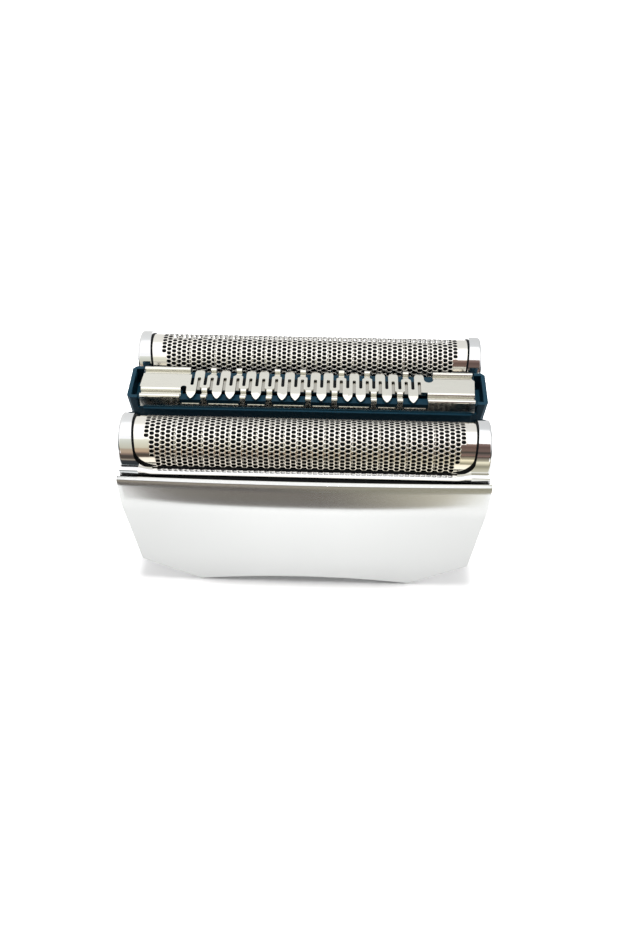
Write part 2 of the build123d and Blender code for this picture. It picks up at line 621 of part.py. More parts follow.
def make_chassis():
    """Inner ring with a slotted end plate at each end for the pegs of the three floating units."""
    length = 2 * (side_x(CHASSIS_RING_BOTTOM_Z) - SIDE_WALL - CHASSIS_CLEARANCE)
    width = 2 * (panel_inner_y(CHASSIS_RING_BOTTOM_Z) - CHASSIS_CLEARANCE)
    opening_length = 2 * (END_PLATE_X - END_PLATE_THICKNESS / 2 - CHASSIS_INNER_LEDGE)
    with BuildPart() as chassis:
        with BuildSketch(level(0, CHASSIS_RING_BOTTOM_Z)):
            Rectangle(length, width)
            Rectangle(opening_length, width - 2 * CHASSIS_BAND, mode=Mode.SUBTRACT)
        extrude(amount=CHASSIS_RING_HEIGHT)
        with BuildSketch(level(0, CHASSIS_RING_TOP_Z)):
            with Locations((-END_PLATE_X, 0), (END_PLATE_X, 0)):
                Rectangle(END_PLATE_THICKNESS, width)
        extrude(amount=END_PLATE_TOP_Z - CHASSIS_RING_TOP_Z)
        with BuildSketch(across(0)):
            with Locations((0, (GUIDE_SLOT_BOTTOM_Z + GUIDE_SLOT_TOP_Z) / 2)):
                with GridLocations(FOIL_SPACING / 2, 1, 3, 1):
                    Rectangle(PEG_WIDTH + 2 * GUIDE_CLEARANCE, GUIDE_SLOT_TOP_Z - GUIDE_SLOT_BOTTOM_Z)
        extrude(amount=length / 2, both=True, mode=Mode.SUBTRACT)
    save(chassis.part, "chassis")


def make_bow_spring(name, axis_y, side):
    """Strip bent to a bow between the chassis ring and the foot of one guide leg."""
    half_span = SPRING_SPAN / 2
    spring_x = side * (LEG_INNER_X + LEG_THICKNESS / 2)
    upper = [
        (-half_span, CHASSIS_RING_TOP_Z + SPRING_STRIP),
        (-half_span + SPRING_FOOT, CHASSIS_RING_TOP_Z + SPRING_STRIP),
        (-SPRING_CROWN / 2, LEG_BOTTOM_Z),
        (SPRING_CROWN / 2, LEG_BOTTOM_Z),
        (half_span - SPRING_FOOT, CHASSIS_RING_TOP_Z + SPRING_STRIP),
        (half_span, CHASSIS_RING_TOP_Z + SPRING_STRIP),
    ]
    lower = [(y, z - SPRING_STRIP) for y, z in reversed(upper)]
    with BuildPart() as spring:
        with BuildSketch(across(axis_y, spring_x)):
            with BuildLine():
                Polyline(*upper, *lower, close=True)
            make_face()
        extrude(amount=LEG_THICKNESS / 2, both=True)
    save(spring.part, name)


def panel_section():
    """Section of the front panel: a leaning upper band above a crease, then a face that falls inwards."""
    with BuildLine() as fold:
        FilletPolyline(
            (-PANEL_RIM_Y + PANEL_WALL / 2, PANEL_TOP_Z),
            (-PANEL_CREASE_Y + PANEL_WALL / 2, PANEL_CREASE_Z),
            (-PANEL_FOOT_Y + PANEL_WALL / 2, 0),
            radius=PANEL_CREASE_RADIUS,
        )
    return fold.line


def panel_outline():
    """Outline of a panel from the front: leaning sides, cut lower corners and an arched lower edge."""
    half_top = PANEL_TOP_WIDTH / 2
    half_corner = PANEL_CORNER_WIDTH / 2
    half_tip = PANEL_TIP_WIDTH / 2
    with BuildLine() as outline:
        Polyline(
            (-half_tip, 0),
            (-half_corner, PANEL_CORNER_Z),
            (-half_top, PANEL_TOP_Z),
            (half_top, PANEL_TOP_Z),
            (half_corner, PANEL_CORNER_Z),
            (half_tip, 0),
        )
        ThreePointArc((half_tip, 0), (0, PANEL_ARCH_RISE), (-half_tip, 0))
    return outline.edges()


def side_x(z):
    """Outer face of the side walls at a height, set in from the panels' leaning edges."""
    lean = PANEL_SIDE_TAPER / (PANEL_TOP_Z - PANEL_CORNER_Z)
    return PANEL_CORNER_WIDTH / 2 + (z - PANEL_CORNER_Z) * lean - SIDE_RECESS


def panel_inner_y(z):
    """Inner face of the panels at a height below the crease, at their ends where the bow is nearest."""
    return PANEL_FOOT_Y + PANEL_FOOT_INSET * z / PANEL_CREASE_Z - PANEL_WALL - PANEL_BOW


def make_housing():
    """Front and rear panels, bowed in plan, joined by side walls that stay below the floating frames."""
    bow_radius = (PANEL_TOP_WIDTH / 2) ** 2 / (2 * PANEL_BOW)
    sweep_angle = 2 * math.degrees(math.asin(PANEL_TOP_WIDTH / 2 / (bow_radius - PANEL_CREASE_Y)))
    bow_axis = Axis((0, bow_radius - PANEL_RIM_Y, 0), (0, 0, 1))
    with BuildPart() as panel:
        with BuildSketch(across(0)):
            trace(panel_section(), PANEL_WALL)
            chamfer(vertices().sort_by(Axis.Y)[-2:], PANEL_RIM_CHAMFER)
        revolve(axis=bow_axis, revolution_arc=sweep_angle / 2)
        mirror(about=Plane.YZ)
        with BuildSketch(facing(0)):
            make_face(panel_outline())
        extrude(amount=PANEL_RIM_Y + PANEL_CREASE_Y, mode=Mode.INTERSECT)
    with BuildPart() as side_walls:
        with BuildSketch(facing(0)):
            for side in (-1, 1):
                with BuildLine():
                    Polyline(
                        (side * side_x(PANEL_CORNER_Z), PANEL_CORNER_Z),
                        (side * side_x(SIDE_TOP_Z), SIDE_TOP_Z),
                        (side * (side_x(SIDE_TOP_Z) - SIDE_WALL), SIDE_TOP_Z),
                        (side * (side_x(PANEL_CORNER_Z) - SIDE_WALL), PANEL_CORNER_Z),
                        close=True,
                    )
                make_face()
        extrude(amount=PANEL_CREASE_Y, both=True)
        with BuildSketch(across(0)):
            inset = PANEL_BOW + PANEL_WALL / 2
            with BuildLine():
                Polyline(
                    (-PANEL_FOOT_Y + inset, 0),
                    (-PANEL_CREASE_Y + inset, PANEL_CREASE_Z),
                    (PANEL_CREASE_Y - inset, PANEL_CREASE_Z),
                    (PANEL_FOOT_Y - inset, 0),
                    close=True,
                )
            make_face()
        extrude(amount=PANEL_TOP_WIDTH / 2, both=True, mode=Mode.INTERSECT)
        with BuildSketch(across(0)):
            with Locations((0, LATCH_WINDOW_Z)):
                Rectangle(LATCH_WINDOW_WIDTH, LATCH_WINDOW_HEIGHT)
        extrude(amount=PANEL_TOP_WIDTH / 2, both=True, mode=Mode.SUBTRACT)
    with BuildPart() as housing:
        add(panel.part)
        mirror(about=Plane.XZ)
        add(side_walls.part)
    save(housing.part, "housing")


os.makedirs("parts", exist_ok=True)

make_housing()
make_chassis()
for unit, unit_y in (("front", -FOIL_SPACING / 2), ("rear", FOIL_SPACING / 2)):
    make_foil_frame(f"{unit}_foil_frame", unit_y)
    make_foil(f"{unit}_foil", unit_y)
    make_foil_retainer(f"{unit}_foil_retainer", unit_y)
    make_cutter_blades(f"{unit}_cutter_blades", unit_y)
    make_cutter_carrier(f"{unit}_cutter_carrier", unit_y)
    make_bow_spring(f"{unit}_foil_spring_left", unit_y, -1)
    make_bow_spring(f"{unit}_foil_spring_right", unit_y, 1)
make_trimmer_carrier()
make_trimmer_comb()
make_trimmer_blade()
make_trimmer_driver()
make_bow_spring("trimmer_spring_left", 0, -1)
make_bow_spring("trimmer_spring_right", 0, 1)
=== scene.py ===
"""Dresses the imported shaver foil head.

Pierced foils in chromed frames, cutter blades, a folded trimmer comb, bow springs and a satin shell.
Meshes are drawn in millimetres and turned to metres when they become objects.
"""

import logging
import math
from dataclasses import dataclass, field
from enum import Enum
from typing import Any, Callable, Sequence

import bmesh
import bpy
from mathutils import Matrix, Vector


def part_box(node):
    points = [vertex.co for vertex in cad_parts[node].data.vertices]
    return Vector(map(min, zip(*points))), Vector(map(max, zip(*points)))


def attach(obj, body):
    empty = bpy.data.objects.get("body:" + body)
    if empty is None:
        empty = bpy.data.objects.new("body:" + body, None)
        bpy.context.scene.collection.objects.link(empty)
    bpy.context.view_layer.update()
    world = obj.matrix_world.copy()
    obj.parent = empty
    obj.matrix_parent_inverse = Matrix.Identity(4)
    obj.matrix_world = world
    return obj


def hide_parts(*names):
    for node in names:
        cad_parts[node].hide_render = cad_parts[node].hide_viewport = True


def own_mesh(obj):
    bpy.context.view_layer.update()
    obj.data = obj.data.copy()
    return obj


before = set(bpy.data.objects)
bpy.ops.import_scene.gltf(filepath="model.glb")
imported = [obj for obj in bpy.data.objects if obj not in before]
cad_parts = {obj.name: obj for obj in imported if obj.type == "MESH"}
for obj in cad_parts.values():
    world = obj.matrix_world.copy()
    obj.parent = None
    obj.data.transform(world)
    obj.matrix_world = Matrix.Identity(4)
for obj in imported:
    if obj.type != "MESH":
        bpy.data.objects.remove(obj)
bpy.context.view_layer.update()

MM = 0.001
WELD_MM = 0.0004
SHARP_DEGREES = 40.0
NOISE_DETAIL = 3.0
EDGE_SAMPLES = 6

# Shares of a pitch past the foil's outermost cells: where rows end, and where edges are drawn straight.
ROW_SLACK = 0.25
ROW_OVERHANG = -0.1
COLUMN_OVERHANG = 0.2

log = logging.getLogger("shaver_foil_head")

Point = tuple[float, float]


class Body(str, Enum):
    """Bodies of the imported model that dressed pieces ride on."""

    HEAD = "head"
    FRONT_FOIL_UNIT = "front_foil_unit"
    REAR_FOIL_UNIT = "rear_foil_unit"
    FRONT_CUTTER = "front_cutter"
    REAR_CUTTER = "rear_cutter"
    TRIMMER_UNIT = "trimmer_unit"
    TRIMMER_CUTTER = "trimmer_cutter"


class Side(Enum):
    """The two long sides of the head, by the sign of their Y."""

    FRONT = -1
    REAR = 1

    @property
    def label(self) -> str:
        """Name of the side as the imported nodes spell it."""
        return self.name.lower()

    @property
    def foil_unit(self) -> Body:
        """Body of this side's floating foil."""
        return Body(f"{self.label}_foil_unit")

    @property
    def cutter(self) -> Body:
        """Body of this side's sliding cutter."""
        return Body(f"{self.label}_cutter")


@dataclass(frozen=True)
class Extent:
    """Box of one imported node, in millimetres."""

    low: Vector
    high: Vector

    @classmethod
    def of(cls, node: str) -> "Extent":
        """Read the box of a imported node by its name."""
        low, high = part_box(node)
        return cls(low / MM, high / MM)

    @property
    def centre(self) -> Vector:
        """Middle of the box."""
        return (self.low + self.high) / 2

    @property
    def size(self) -> Vector:
        """Edge lengths of the box."""
        return self.high - self.low


def linear(hex_colour: str) -> tuple[float, float, float, float]:
    """Turn an sRGB hex value such as #A0B0C0 into a linear colour.

    Args:
        hex_colour: The colour as a hash and six hex digits.

    Returns:
        Red, green, blue and an alpha of one.
    """
    shares = [int(hex_colour[start:start + 2], 16) / 255 for start in (1, 3, 5)]
    red, green, blue = (
        share / 12.92 if share <= 0.04045 else ((share + 0.055) / 1.055) ** 2.4 for share in shares
    )
    return red, green, blue, 1.0


def add_node(
    tree: bpy.types.NodeTree, kind: str, inputs: dict | None = None, **settings: Any
) -> bpy.types.Node:
    """Add one node to a tree with its settings, values and links.

    Args:
        tree: Tree that gets the node.
        kind: Type name of the node.
        inputs: Value, socket or node for each input, by the input's name or number.
        settings: Properties of the node.

    Returns:
        The new node.
    """
    node = tree.nodes.new(kind)
    for name, value in settings.items():
        setattr(node, name, value)
    for key, value in (inputs or {}).items():
        if isinstance(value, bpy.types.Node):
            value = value.outputs[0]
        if isinstance(value, bpy.types.NodeSocket):
            tree.links.new(value, node.inputs[key])
        else:
            node.inputs[key].default_value = value
    return node


@dataclass(frozen=True)
class Finish:
    """One real material: its colours, gloss and the fine pattern that its making leaves.

    The pattern's grain is in millimetres along X, Y and Z of the piece.
    Its relief is a height in millimetres.
    """

    name: str
    slot: str
    colour: str
    fleck: str
    metallic: float
    roughness: float
    roughness_spread: float
    grain_mm: tuple[float, float, float]
    relief_mm: float
    specular: float = 0.5
    edge_round_mm: float = 0.0

    def build(self) -> bpy.types.Material:
        """Make the material's nodes.

        Returns:
            The finished material.
        """
        material = bpy.data.materials.new(self.name)
        material.use_nodes = True
        tree = material.node_tree
        tree.nodes.clear()
        place = add_node(tree, "ShaderNodeTexCoord")
        scale = [1 / (grain * MM) for grain in self.grain_mm]
        spread = add_node(tree, "ShaderNodeMapping", {"Vector": place.outputs["Object"], "Scale": scale})
        grain = add_node(
            tree,
            "ShaderNodeTexNoise",
            {"Vector": spread, "Scale": 1.0, "Detail": NOISE_DETAIL},
        )
        tint = add_node(
            tree,
            "ShaderNodeMix",
            {0: grain.outputs[0], 6: linear(self.colour), 7: linear(self.fleck)},
            data_type="RGBA",
        )
        gloss = add_node(
            tree,
            "ShaderNodeMapRange",
            {
                "Value": grain.outputs[0],
                "To Min": self.roughness - self.roughness_spread,
                "To Max": self.roughness + self.roughness_spread,
            },
        )
        relief = add_node(
            tree,
            "ShaderNodeBump",
            {"Height": grain.outputs[0], "Distance": self.relief_mm * MM, "Strength": 1.0},
        )
        if self.edge_round_mm:
            edges = add_node(
                tree, "ShaderNodeBevel", {"Radius": self.edge_round_mm * MM}, samples=EDGE_SAMPLES
            )
            tree.links.new(edges.outputs[0], relief.inputs["Normal"])
        shader = add_node(
            tree,
            "ShaderNodeBsdfPrincipled",
            {
                "Base Color": tint.outputs[2],
                "Metallic": self.metallic,
                "Roughness": gloss.outputs[0],
                "Specular IOR Level": self.specular,
                "Normal": relief,
            },
        )
        add_node(tree, "ShaderNodeOutputMaterial", {"Surface": shader})
        return material


# Silver paint on moulded ABS: fine metal flakes under clear lacquer, which blurs what it mirrors.
SILVER_PAINT = Finish(
    name="silver_painted_abs",
    slot="silver_plastic",
    colour="#C8C9C8",
    fleck="#C1C2C1",
    metallic=0.95,
    roughness=0.24,
    roughness_spread=0.03,
    grain_mm=(0.25, 0.25, 0.25),
    relief_mm=0.001,
)

# Bright chrome plating on moulded plastic: a mirror with the faint waviness of the moulding below.
CHROME_PLATING = Finish(
    name="chrome_plated_abs",
    slot="plated_frame",
    colour="#E0E0E1",
    fleck="#DADBDC",
    metallic=1.0,
    roughness=0.05,
    roughness_spread=0.02,
    grain_mm=(2.5, 2.5, 2.5),
    relief_mm=0.004,
)

# Electroformed nickel foil: smooth warm metal that is glossy but not a perfect mirror.
FOIL_NICKEL = Finish(
    name="electroformed_nickel",
    slot="foil_nickel",
    colour="#EDEAE4",
    fleck="#E5E1D9",
    metallic=1.0,
    roughness=0.07,
    roughness_spread=0.02,
    grain_mm=(0.8, 0.8, 0.8),
    relief_mm=0.0005,
)

# Inner side of the foil: the matt side of the electroforming, painted nearly black as painted shade, so
# that little shows inside.
INNER_NICKEL_PAINTED_SHADE = Finish(
    name="dull_nickel",
    slot="foil_nickel",
    colour="#181716",
    fleck="#100F0F",
    metallic=1.0,
    roughness=0.5,
    roughness_spread=0.08,
    grain_mm=(0.3, 0.3, 0.3),
    relief_mm=0.001,
)

# Stamped and tumbled stainless sheet: satin, with the rolling direction running along the comb.
COMB_STEEL = Finish(
    name="stamped_stainless_sheet",
    slot="comb_steel",
    colour="#E4E2DA",
    fleck="#DCDAD1",
    metallic=1.0,
    roughness=0.17,
    roughness_spread=0.04,
    grain_mm=(1.6, 0.12, 0.12),
    relief_mm=0.001,
)

# Ground cutter steel: bright edges with fine grinding lines across each blade.
BLADE_STEEL = Finish(
    name="ground_blade_steel",
    slot="blade_steel",
    colour="#C4C1BA",
    fleck="#A5A29A",
    metallic=1.0,
    roughness=0.2,
    roughness_spread=0.06,
    grain_mm=(0.1, 0.6, 0.6),
    relief_mm=0.001,
)

# Tempered spring strip: darker rolled steel with a smooth face.
SPRING_STEEL = Finish(
    name="tempered_spring_strip",
    slot="spring_steel",
    colour="#BDB9B0",
    fleck="#9E9A92",
    metallic=1.0,
    roughness=0.28,
    roughness_spread=0.06,
    grain_mm=(0.1, 1.2, 1.2),
    relief_mm=0.001,
)

# Blue-black moulded ABS: fine spark-eroded tooling leaves a soft, almost matte face.
BLACK_ABS = Finish(
    name="moulded_black_abs",
    slot="black_plastic",
    colour="#0A202B",
    fleck="#0D2733",
    metallic=0.0,
    roughness=0.4,
    roughness_spread=0.08,
    grain_mm=(0.2, 0.2, 0.2),
    relief_mm=0.002,
    specular=0.12,
    edge_round_mm=0.12,
)

# Jet-black acetal of the sliding pieces, the cutter's core, the foil's lip and the bare inside of the
# shell:
# dull, and darker than the outer black; the extra darkness is painted shade for parts deep in the head.
BLACK_ACETAL_AND_SHADE = Finish(
    name="moulded_black_acetal",
    slot="black_plastic",
    colour="#030507",
    fleck="#05080A",
    metallic=0.0,
    roughness=0.45,
    roughness_spread=0.08,
    grain_mm=(0.2, 0.2, 0.2),
    relief_mm=0.002,
    specular=0.1,
)

FINISHES = (
    SILVER_PAINT,
    CHROME_PLATING,
    FOIL_NICKEL,
    INNER_NICKEL_PAINTED_SHADE,
    COMB_STEEL,
    BLADE_STEEL,
    SPRING_STEEL,
    BLACK_ABS,
    BLACK_ACETAL_AND_SHADE,
)


def half_turn(steps: int) -> list[float]:
    """Angles of a half turn, from zero on, in equal steps."""
    return [math.pi * step / steps for step in range(steps + 1)]


def rounded_path(points: Sequence[Point], radii: Sequence[float], steps: int) -> list[Point]:
    """Round the inner corners of an open path with arcs.

    Args:
        points: Corners of the path, with its two ends.
        radii: Radius at each inner corner; zero leaves it sharp.
        steps: Straight pieces in each arc.

    Returns:
        Points along the rounded path.
    """
    path = [points[0]]
    for before, corner, after, radius in zip(points, points[1:], points[2:], radii):
        if radius == 0:
            path.append(corner)
            continue
        knee = Vector(corner)
        back = (Vector(before) - knee).normalized()
        ahead = (Vector(after) - knee).normalized()
        half_angle = back.angle(ahead) / 2
        centre = knee + (back + ahead).normalized() * (radius / math.sin(half_angle))
        arm = knee + back * (radius / math.tan(half_angle)) - centre
        turn = math.pi - 2 * half_angle
        if back.cross(ahead) > 0:
            turn = -turn
        for step in range(steps + 1):
            angle = turn * step / steps
            cosine, sine = math.cos(angle), math.sin(angle)
            path.append(
                (
                    centre.x + arm.x * cosine - arm.y * sine,
                    centre.y + arm.x * sine + arm.y * cosine,
                )
            )
    path.append(points[-1])
    return path


def add_grid(
    bm: bmesh.types.BMesh, rows: Sequence[Sequence[Sequence[float]]]
) -> list[list[bmesh.types.BMVert]]:
    """Add quads through rows of points.

    Args:
        bm: Mesh that gets the grid.
        rows: Rows of points, all of one length.

    Returns:
        The new vertices, row by row.
    """
    verts = [[bm.verts.new(point) for point in row] for row in rows]
    for near, far in zip(verts, verts[1:]):
        for corners in zip(near, near[1:], far[1:], far):
            bm.faces.new(corners)
    return verts


def mesh_object(name: str, bm: bmesh.types.BMesh) -> bpy.types.Object:
    """Weld a mesh drawn in millimetres and make it an object in metres.

    Args:
        name: Name of the object.
        bm: The mesh, which is freed.

    Returns:
        The object, at the origin.
    """
    bmesh.ops.remove_doubles(bm, verts=bm.verts, dist=WELD_MM)
    bmesh.ops.recalc_face_normals(bm, faces=bm.faces)
    bmesh.ops.scale(bm, vec=(MM, MM, MM), verts=bm.verts)
    mesh = bpy.data.meshes.new(name)
    bm.to_mesh(mesh)
    bm.free()
    obj = bpy.data.objects.new(name, mesh)
    bpy.context.scene.collection.objects.link(obj)
    return obj


def add_modifier(obj: bpy.types.Object, kind: str, **settings: Any) -> None:
    """Add a modifier of one kind to an object, with its settings."""
    modifier = obj.modifiers.new(kind.lower(), kind)
    for name, value in settings.items():
        setattr(modifier, name, value)


def settle(obj: bpy.types.Object, sharp_degrees: float = 180.0) -> bpy.types.Object:
    """Turn an object's modifiers into plain mesh and shade it.

    Args:
        obj: The object.
        sharp_degrees: Edges that bend more than this stay sharp.

    Returns:
        The same object, without modifiers.
    """
    shape = obj.evaluated_get(bpy.context.evaluated_depsgraph_get())
    mesh = bpy.data.meshes.new_from_object(shape)
    obj.modifiers.clear()
    old = obj.data
    obj.data = mesh
    bpy.data.meshes.remove(old)
    mesh.shade_smooth()
    if sharp_degrees < 180:
        mesh.set_sharp_from_angle(angle=math.radians(sharp_degrees))
    return obj


def remove(*objects: bpy.types.Object) -> None:
    """Delete helper objects and their meshes."""
    for obj in objects:
        mesh = obj.data
        bpy.data.objects.remove(obj)
        bpy.data.meshes.remove(mesh)


def dress(
    obj: bpy.types.Object, finish: Finish, materials: dict[str, bpy.types.Material], body: Body, *nodes: str
) -> None:
    """Give a piece its material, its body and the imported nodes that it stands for.

    Args:
        obj: The finished piece.
        finish: Its finish.
        materials: The built materials, by the name of the finish.
        body: Body that it rides on.
        nodes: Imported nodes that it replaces.
    """
    obj.data.materials.clear()
    obj.data.materials.append(materials[finish.name])
    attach(obj, body.value)
    if nodes:
        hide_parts(*nodes)
    log.info("%s: %d faces on %s", obj.name, len(obj.data.polygons), body.value)


def line(
    obj: bpy.types.Object, material: bpy.types.Material, is_inner: Callable[[Vector, Vector], bool]
) -> None:
    """Give the inner faces of a dressed piece a second material.

    Args:
        obj: The piece, with its own material in the first slot.
        material: Material of the inner faces.
        is_inner: Tells from a face's middle, in millimetres, and its normal whether it looks inwards.
    """
    obj.data.materials.append(material)
    for face in obj.data.polygons:
        if is_inner(face.center / MM, face.normal):
            face.material_index = 1


class NodeShape:
    """A Geometry Nodes tree with named inputs that turns a seed mesh into a plain one."""

    def __init__(self, name: str) -> None:
        """Start an empty tree with one geometry input."""
        self.tree = bpy.data.node_groups.new(name, "GeometryNodeTree")
        self.tree.interface.new_socket(name="Geometry", in_out="INPUT", socket_type="NodeSocketGeometry")
        self.tree.interface.new_socket(name="Geometry", in_out="OUTPUT", socket_type="NodeSocketGeometry")
        self.sockets: dict[str, Any] = {}

    def take(self, **kinds: str) -> dict[str, bpy.types.NodeSocket]:
        """Args:
            kinds: Socket type for each input, by its name.

        Returns:
            The sockets that give the inputs inside the tree, with the seed's own under seed.
        """
        for name, kind in kinds.items():
            self.sockets[name] = self.tree.interface.new_socket(
                name=name, in_out="INPUT", socket_type=f"NodeSocket{kind}"
            )
        source = add_node(self.tree, "NodeGroupInput")
        given = {name: source.outputs[name] for name in kinds}
        given["seed"] = source.outputs["Geometry"]
        return given

    def give(self, geometry: bpy.types.NodeSocket, material: bpy.types.NodeSocket) -> None:
        """End the tree: set the material and hand the geometry out."""
        painted = add_node(
            self.tree, "GeometryNodeSetMaterial", {"Geometry": geometry, "Material": material}
        )
        add_node(self.tree, "NodeGroupOutput", {"Geometry": painted})

    def attach(self, obj: bpy.types.Object, **values: Any) -> None:
        """Put the tree on an object and set its inputs by their identifiers."""
        modifier = obj.modifiers.new(self.tree.name, "NODES")
        modifier.node_group = self.tree
        for name, value in values.items():
            modifier[self.sockets[name].identifier] = value


def row_of_copies() -> NodeShape:
    """Tree that repeats its seed along X and welds copies that meet.

    Returns:
        The tree, with the inputs count, pitch and material.
    """
    shape = NodeShape("row_of_copies")
    tree = shape.tree
    given = shape.take(count="Int", pitch="Float", material="Material")
    gaps = add_node(tree, "ShaderNodeMath", {0: given["count"], 1: 1.0}, operation="SUBTRACT")
    reach = add_node(tree, "ShaderNodeMath", {0: gaps, 1: given["pitch"]}, operation="MULTIPLY")
    first = add_node(tree, "ShaderNodeMath", {0: reach, 1: -0.5}, operation="MULTIPLY")
    start = add_node(tree, "ShaderNodeCombineXYZ", {"X": first})
    step = add_node(tree, "ShaderNodeCombineXYZ", {"X": given["pitch"]})
    places = add_node(
        tree, "GeometryNodeMeshLine", {"Count": given["count"], "Start Location": start, "Offset": step}
    )
    copies = add_node(tree, "GeometryNodeInstanceOnPoints", {"Points": places, "Instance": given["seed"]})
    solid = add_node(tree, "GeometryNodeRealizeInstances", {"Geometry": copies})
    welded = add_node(tree, "GeometryNodeMergeByDistance", {"Geometry": solid, "Distance": WELD_MM * MM})
    shape.give(welded.outputs[0], given["material"])
    return shape


def pierced_arch() -> NodeShape:
    """Tree that lays staggered pierced cells on a sheet, trims its edges straight and arches it.

    Returns:
        The tree, with the lattice, the pierced field and the arch as inputs, all lengths in metres.
    """
    shape = NodeShape("pierced_arch")
    tree = shape.tree
    given = shape.take(
        pierced_cell="Object",
        blank_cell="Object",
        column_pitch="Float",
        row_pitch="Float",
        columns_each_side="Int",
        rows_each_side="Int",
        half_length="Float",
        half_sheet="Float",
        field_half="Float",
        first_step="Float",
        second_step="Float",
        field_end="Float",
        radius="Float",
        axis_y="Float",
        axis_z="Float",
        material="Material",
    )
    column, row = given["column_pitch"], given["row_pitch"]

    # Grid of cell middles, with every other column half a row further.
    columns = add_node(
        tree, "ShaderNodeMath", {0: given["columns_each_side"], 1: 2.0}, operation="MULTIPLY"
    )
    rows = add_node(tree, "ShaderNodeMath", {0: given["rows_each_side"], 1: 2.0}, operation="MULTIPLY")
    grid = add_node(
        tree,
        "GeometryNodeMeshGrid",
        {
            "Size X": add_node(tree, "ShaderNodeMath", {0: columns, 1: column}, operation="MULTIPLY"),
            "Size Y": add_node(tree, "ShaderNodeMath", {0: rows, 1: row}, operation="MULTIPLY"),
            "Vertices X": add_node(tree, "ShaderNodeMath", {0: columns, 1: 1.0}, operation="ADD"),
            "Vertices Y": add_node(tree, "ShaderNodeMath", {0: rows, 1: 1.0}, operation="ADD"),
        },
    )
    spot = add_node(tree, "ShaderNodeSeparateXYZ", {0: add_node(tree, "GeometryNodeInputPosition")})
    along, around = spot.outputs["X"], spot.outputs["Y"]
    pitches = add_node(tree, "ShaderNodeMath", {0: along, 1: column}, operation="DIVIDE")
    number = add_node(tree, "ShaderNodeMath", {0: pitches}, operation="ROUND")
    odd = add_node(tree, "ShaderNodeMath", {0: number, 1: 2.0}, operation="FLOORED_MODULO")
    half_row = add_node(tree, "ShaderNodeMath", {0: row, 1: 0.5}, operation="MULTIPLY")
    shift = add_node(tree, "ShaderNodeMath", {0: odd, 1: half_row}, operation="MULTIPLY")
    staggered = add_node(
        tree,
        "GeometryNodeSetPosition",
        {"Geometry": grid, "Offset": add_node(tree, "ShaderNodeCombineXYZ", {"Y": shift})},
    )
    distance = add_node(tree, "ShaderNodeMath", {0: around}, operation="ABSOLUTE")
    last_row = add_node(
        tree, "ShaderNodeMath", {0: given["rows_each_side"], 1: ROW_SLACK}, operation="ADD"
    )
    past_rows = add_node(
        tree,
        "FunctionNodeCompare",
        {0: distance, 1: add_node(tree, "ShaderNodeMath", {0: last_row, 1: row}, operation="MULTIPLY")},
        operation="GREATER_THAN",
    )
    places = add_node(
        tree, "GeometryNodeDeleteGeometry", {"Geometry": staggered, "Selection": past_rows}, domain="POINT"
    )

    # Pierced field: each row further down the arch loses a column at both ends, twice.
    narrower = given["field_half"]
    for step in (given["first_step"], given["second_step"]):
        past = add_node(tree, "ShaderNodeMath", {0: distance, 1: step}, operation="GREATER_THAN")
        cut = add_node(tree, "ShaderNodeMath", {0: past, 1: column}, operation="MULTIPLY")
        narrower = add_node(tree, "ShaderNodeMath", {0: narrower, 1: cut}, operation="SUBTRACT")
    off_middle = add_node(tree, "ShaderNodeMath", {0: along}, operation="ABSOLUTE")
    in_length = add_node(tree, "FunctionNodeCompare", {0: off_middle, 1: narrower}, operation="LESS_THAN")
    in_arc = add_node(
        tree, "FunctionNodeCompare", {0: distance, 1: given["field_end"]}, operation="LESS_THAN"
    )
    pierced = add_node(tree, "FunctionNodeBooleanMath", {0: in_length, 1: in_arc}, operation="AND")
    plain = add_node(tree, "FunctionNodeBooleanMath", {0: pierced}, operation="NOT")
    joined = add_node(tree, "GeometryNodeJoinGeometry")
    for cell, chosen in ((given["pierced_cell"], pierced), (given["blank_cell"], plain)):
        source = add_node(tree, "GeometryNodeObjectInfo", {"Object": cell})
        copies = add_node(
            tree,
            "GeometryNodeInstanceOnPoints",
            {"Points": places, "Selection": chosen, "Instance": source.outputs["Geometry"]},
        )
        tree.links.new(copies.outputs[0], joined.inputs[0])
    solid = add_node(tree, "GeometryNodeRealizeInstances", {"Geometry": joined})
    welded = add_node(tree, "GeometryNodeMergeByDistance", {"Geometry": solid, "Distance": WELD_MM * MM})

    # Straight edges: what lies past the last cells' middles is drawn onto the sheet's edge.
    trimmed = []
    for coordinate, pitch, each_side, overhang, edge in (
        (along, column, given["columns_each_side"], COLUMN_OVERHANG, given["half_length"]),
        (around, row, given["rows_each_side"], ROW_OVERHANG, given["half_sheet"]),
    ):
        cells = add_node(tree, "ShaderNodeMath", {0: each_side, 1: overhang}, operation="ADD")
        limit = add_node(tree, "ShaderNodeMath", {0: cells, 1: pitch}, operation="MULTIPLY")
        reach = add_node(tree, "ShaderNodeMath", {0: coordinate}, operation="ABSOLUTE")
        past = add_node(tree, "ShaderNodeMath", {0: reach, 1: limit}, operation="GREATER_THAN")
        sign = add_node(tree, "ShaderNodeMath", {0: coordinate}, operation="SIGN")
        border = add_node(tree, "ShaderNodeMath", {0: sign, 1: edge}, operation="MULTIPLY")
        trimmed.append(add_node(tree, "ShaderNodeMix", {0: past, 2: coordinate, 3: border}))
    along, around = trimmed

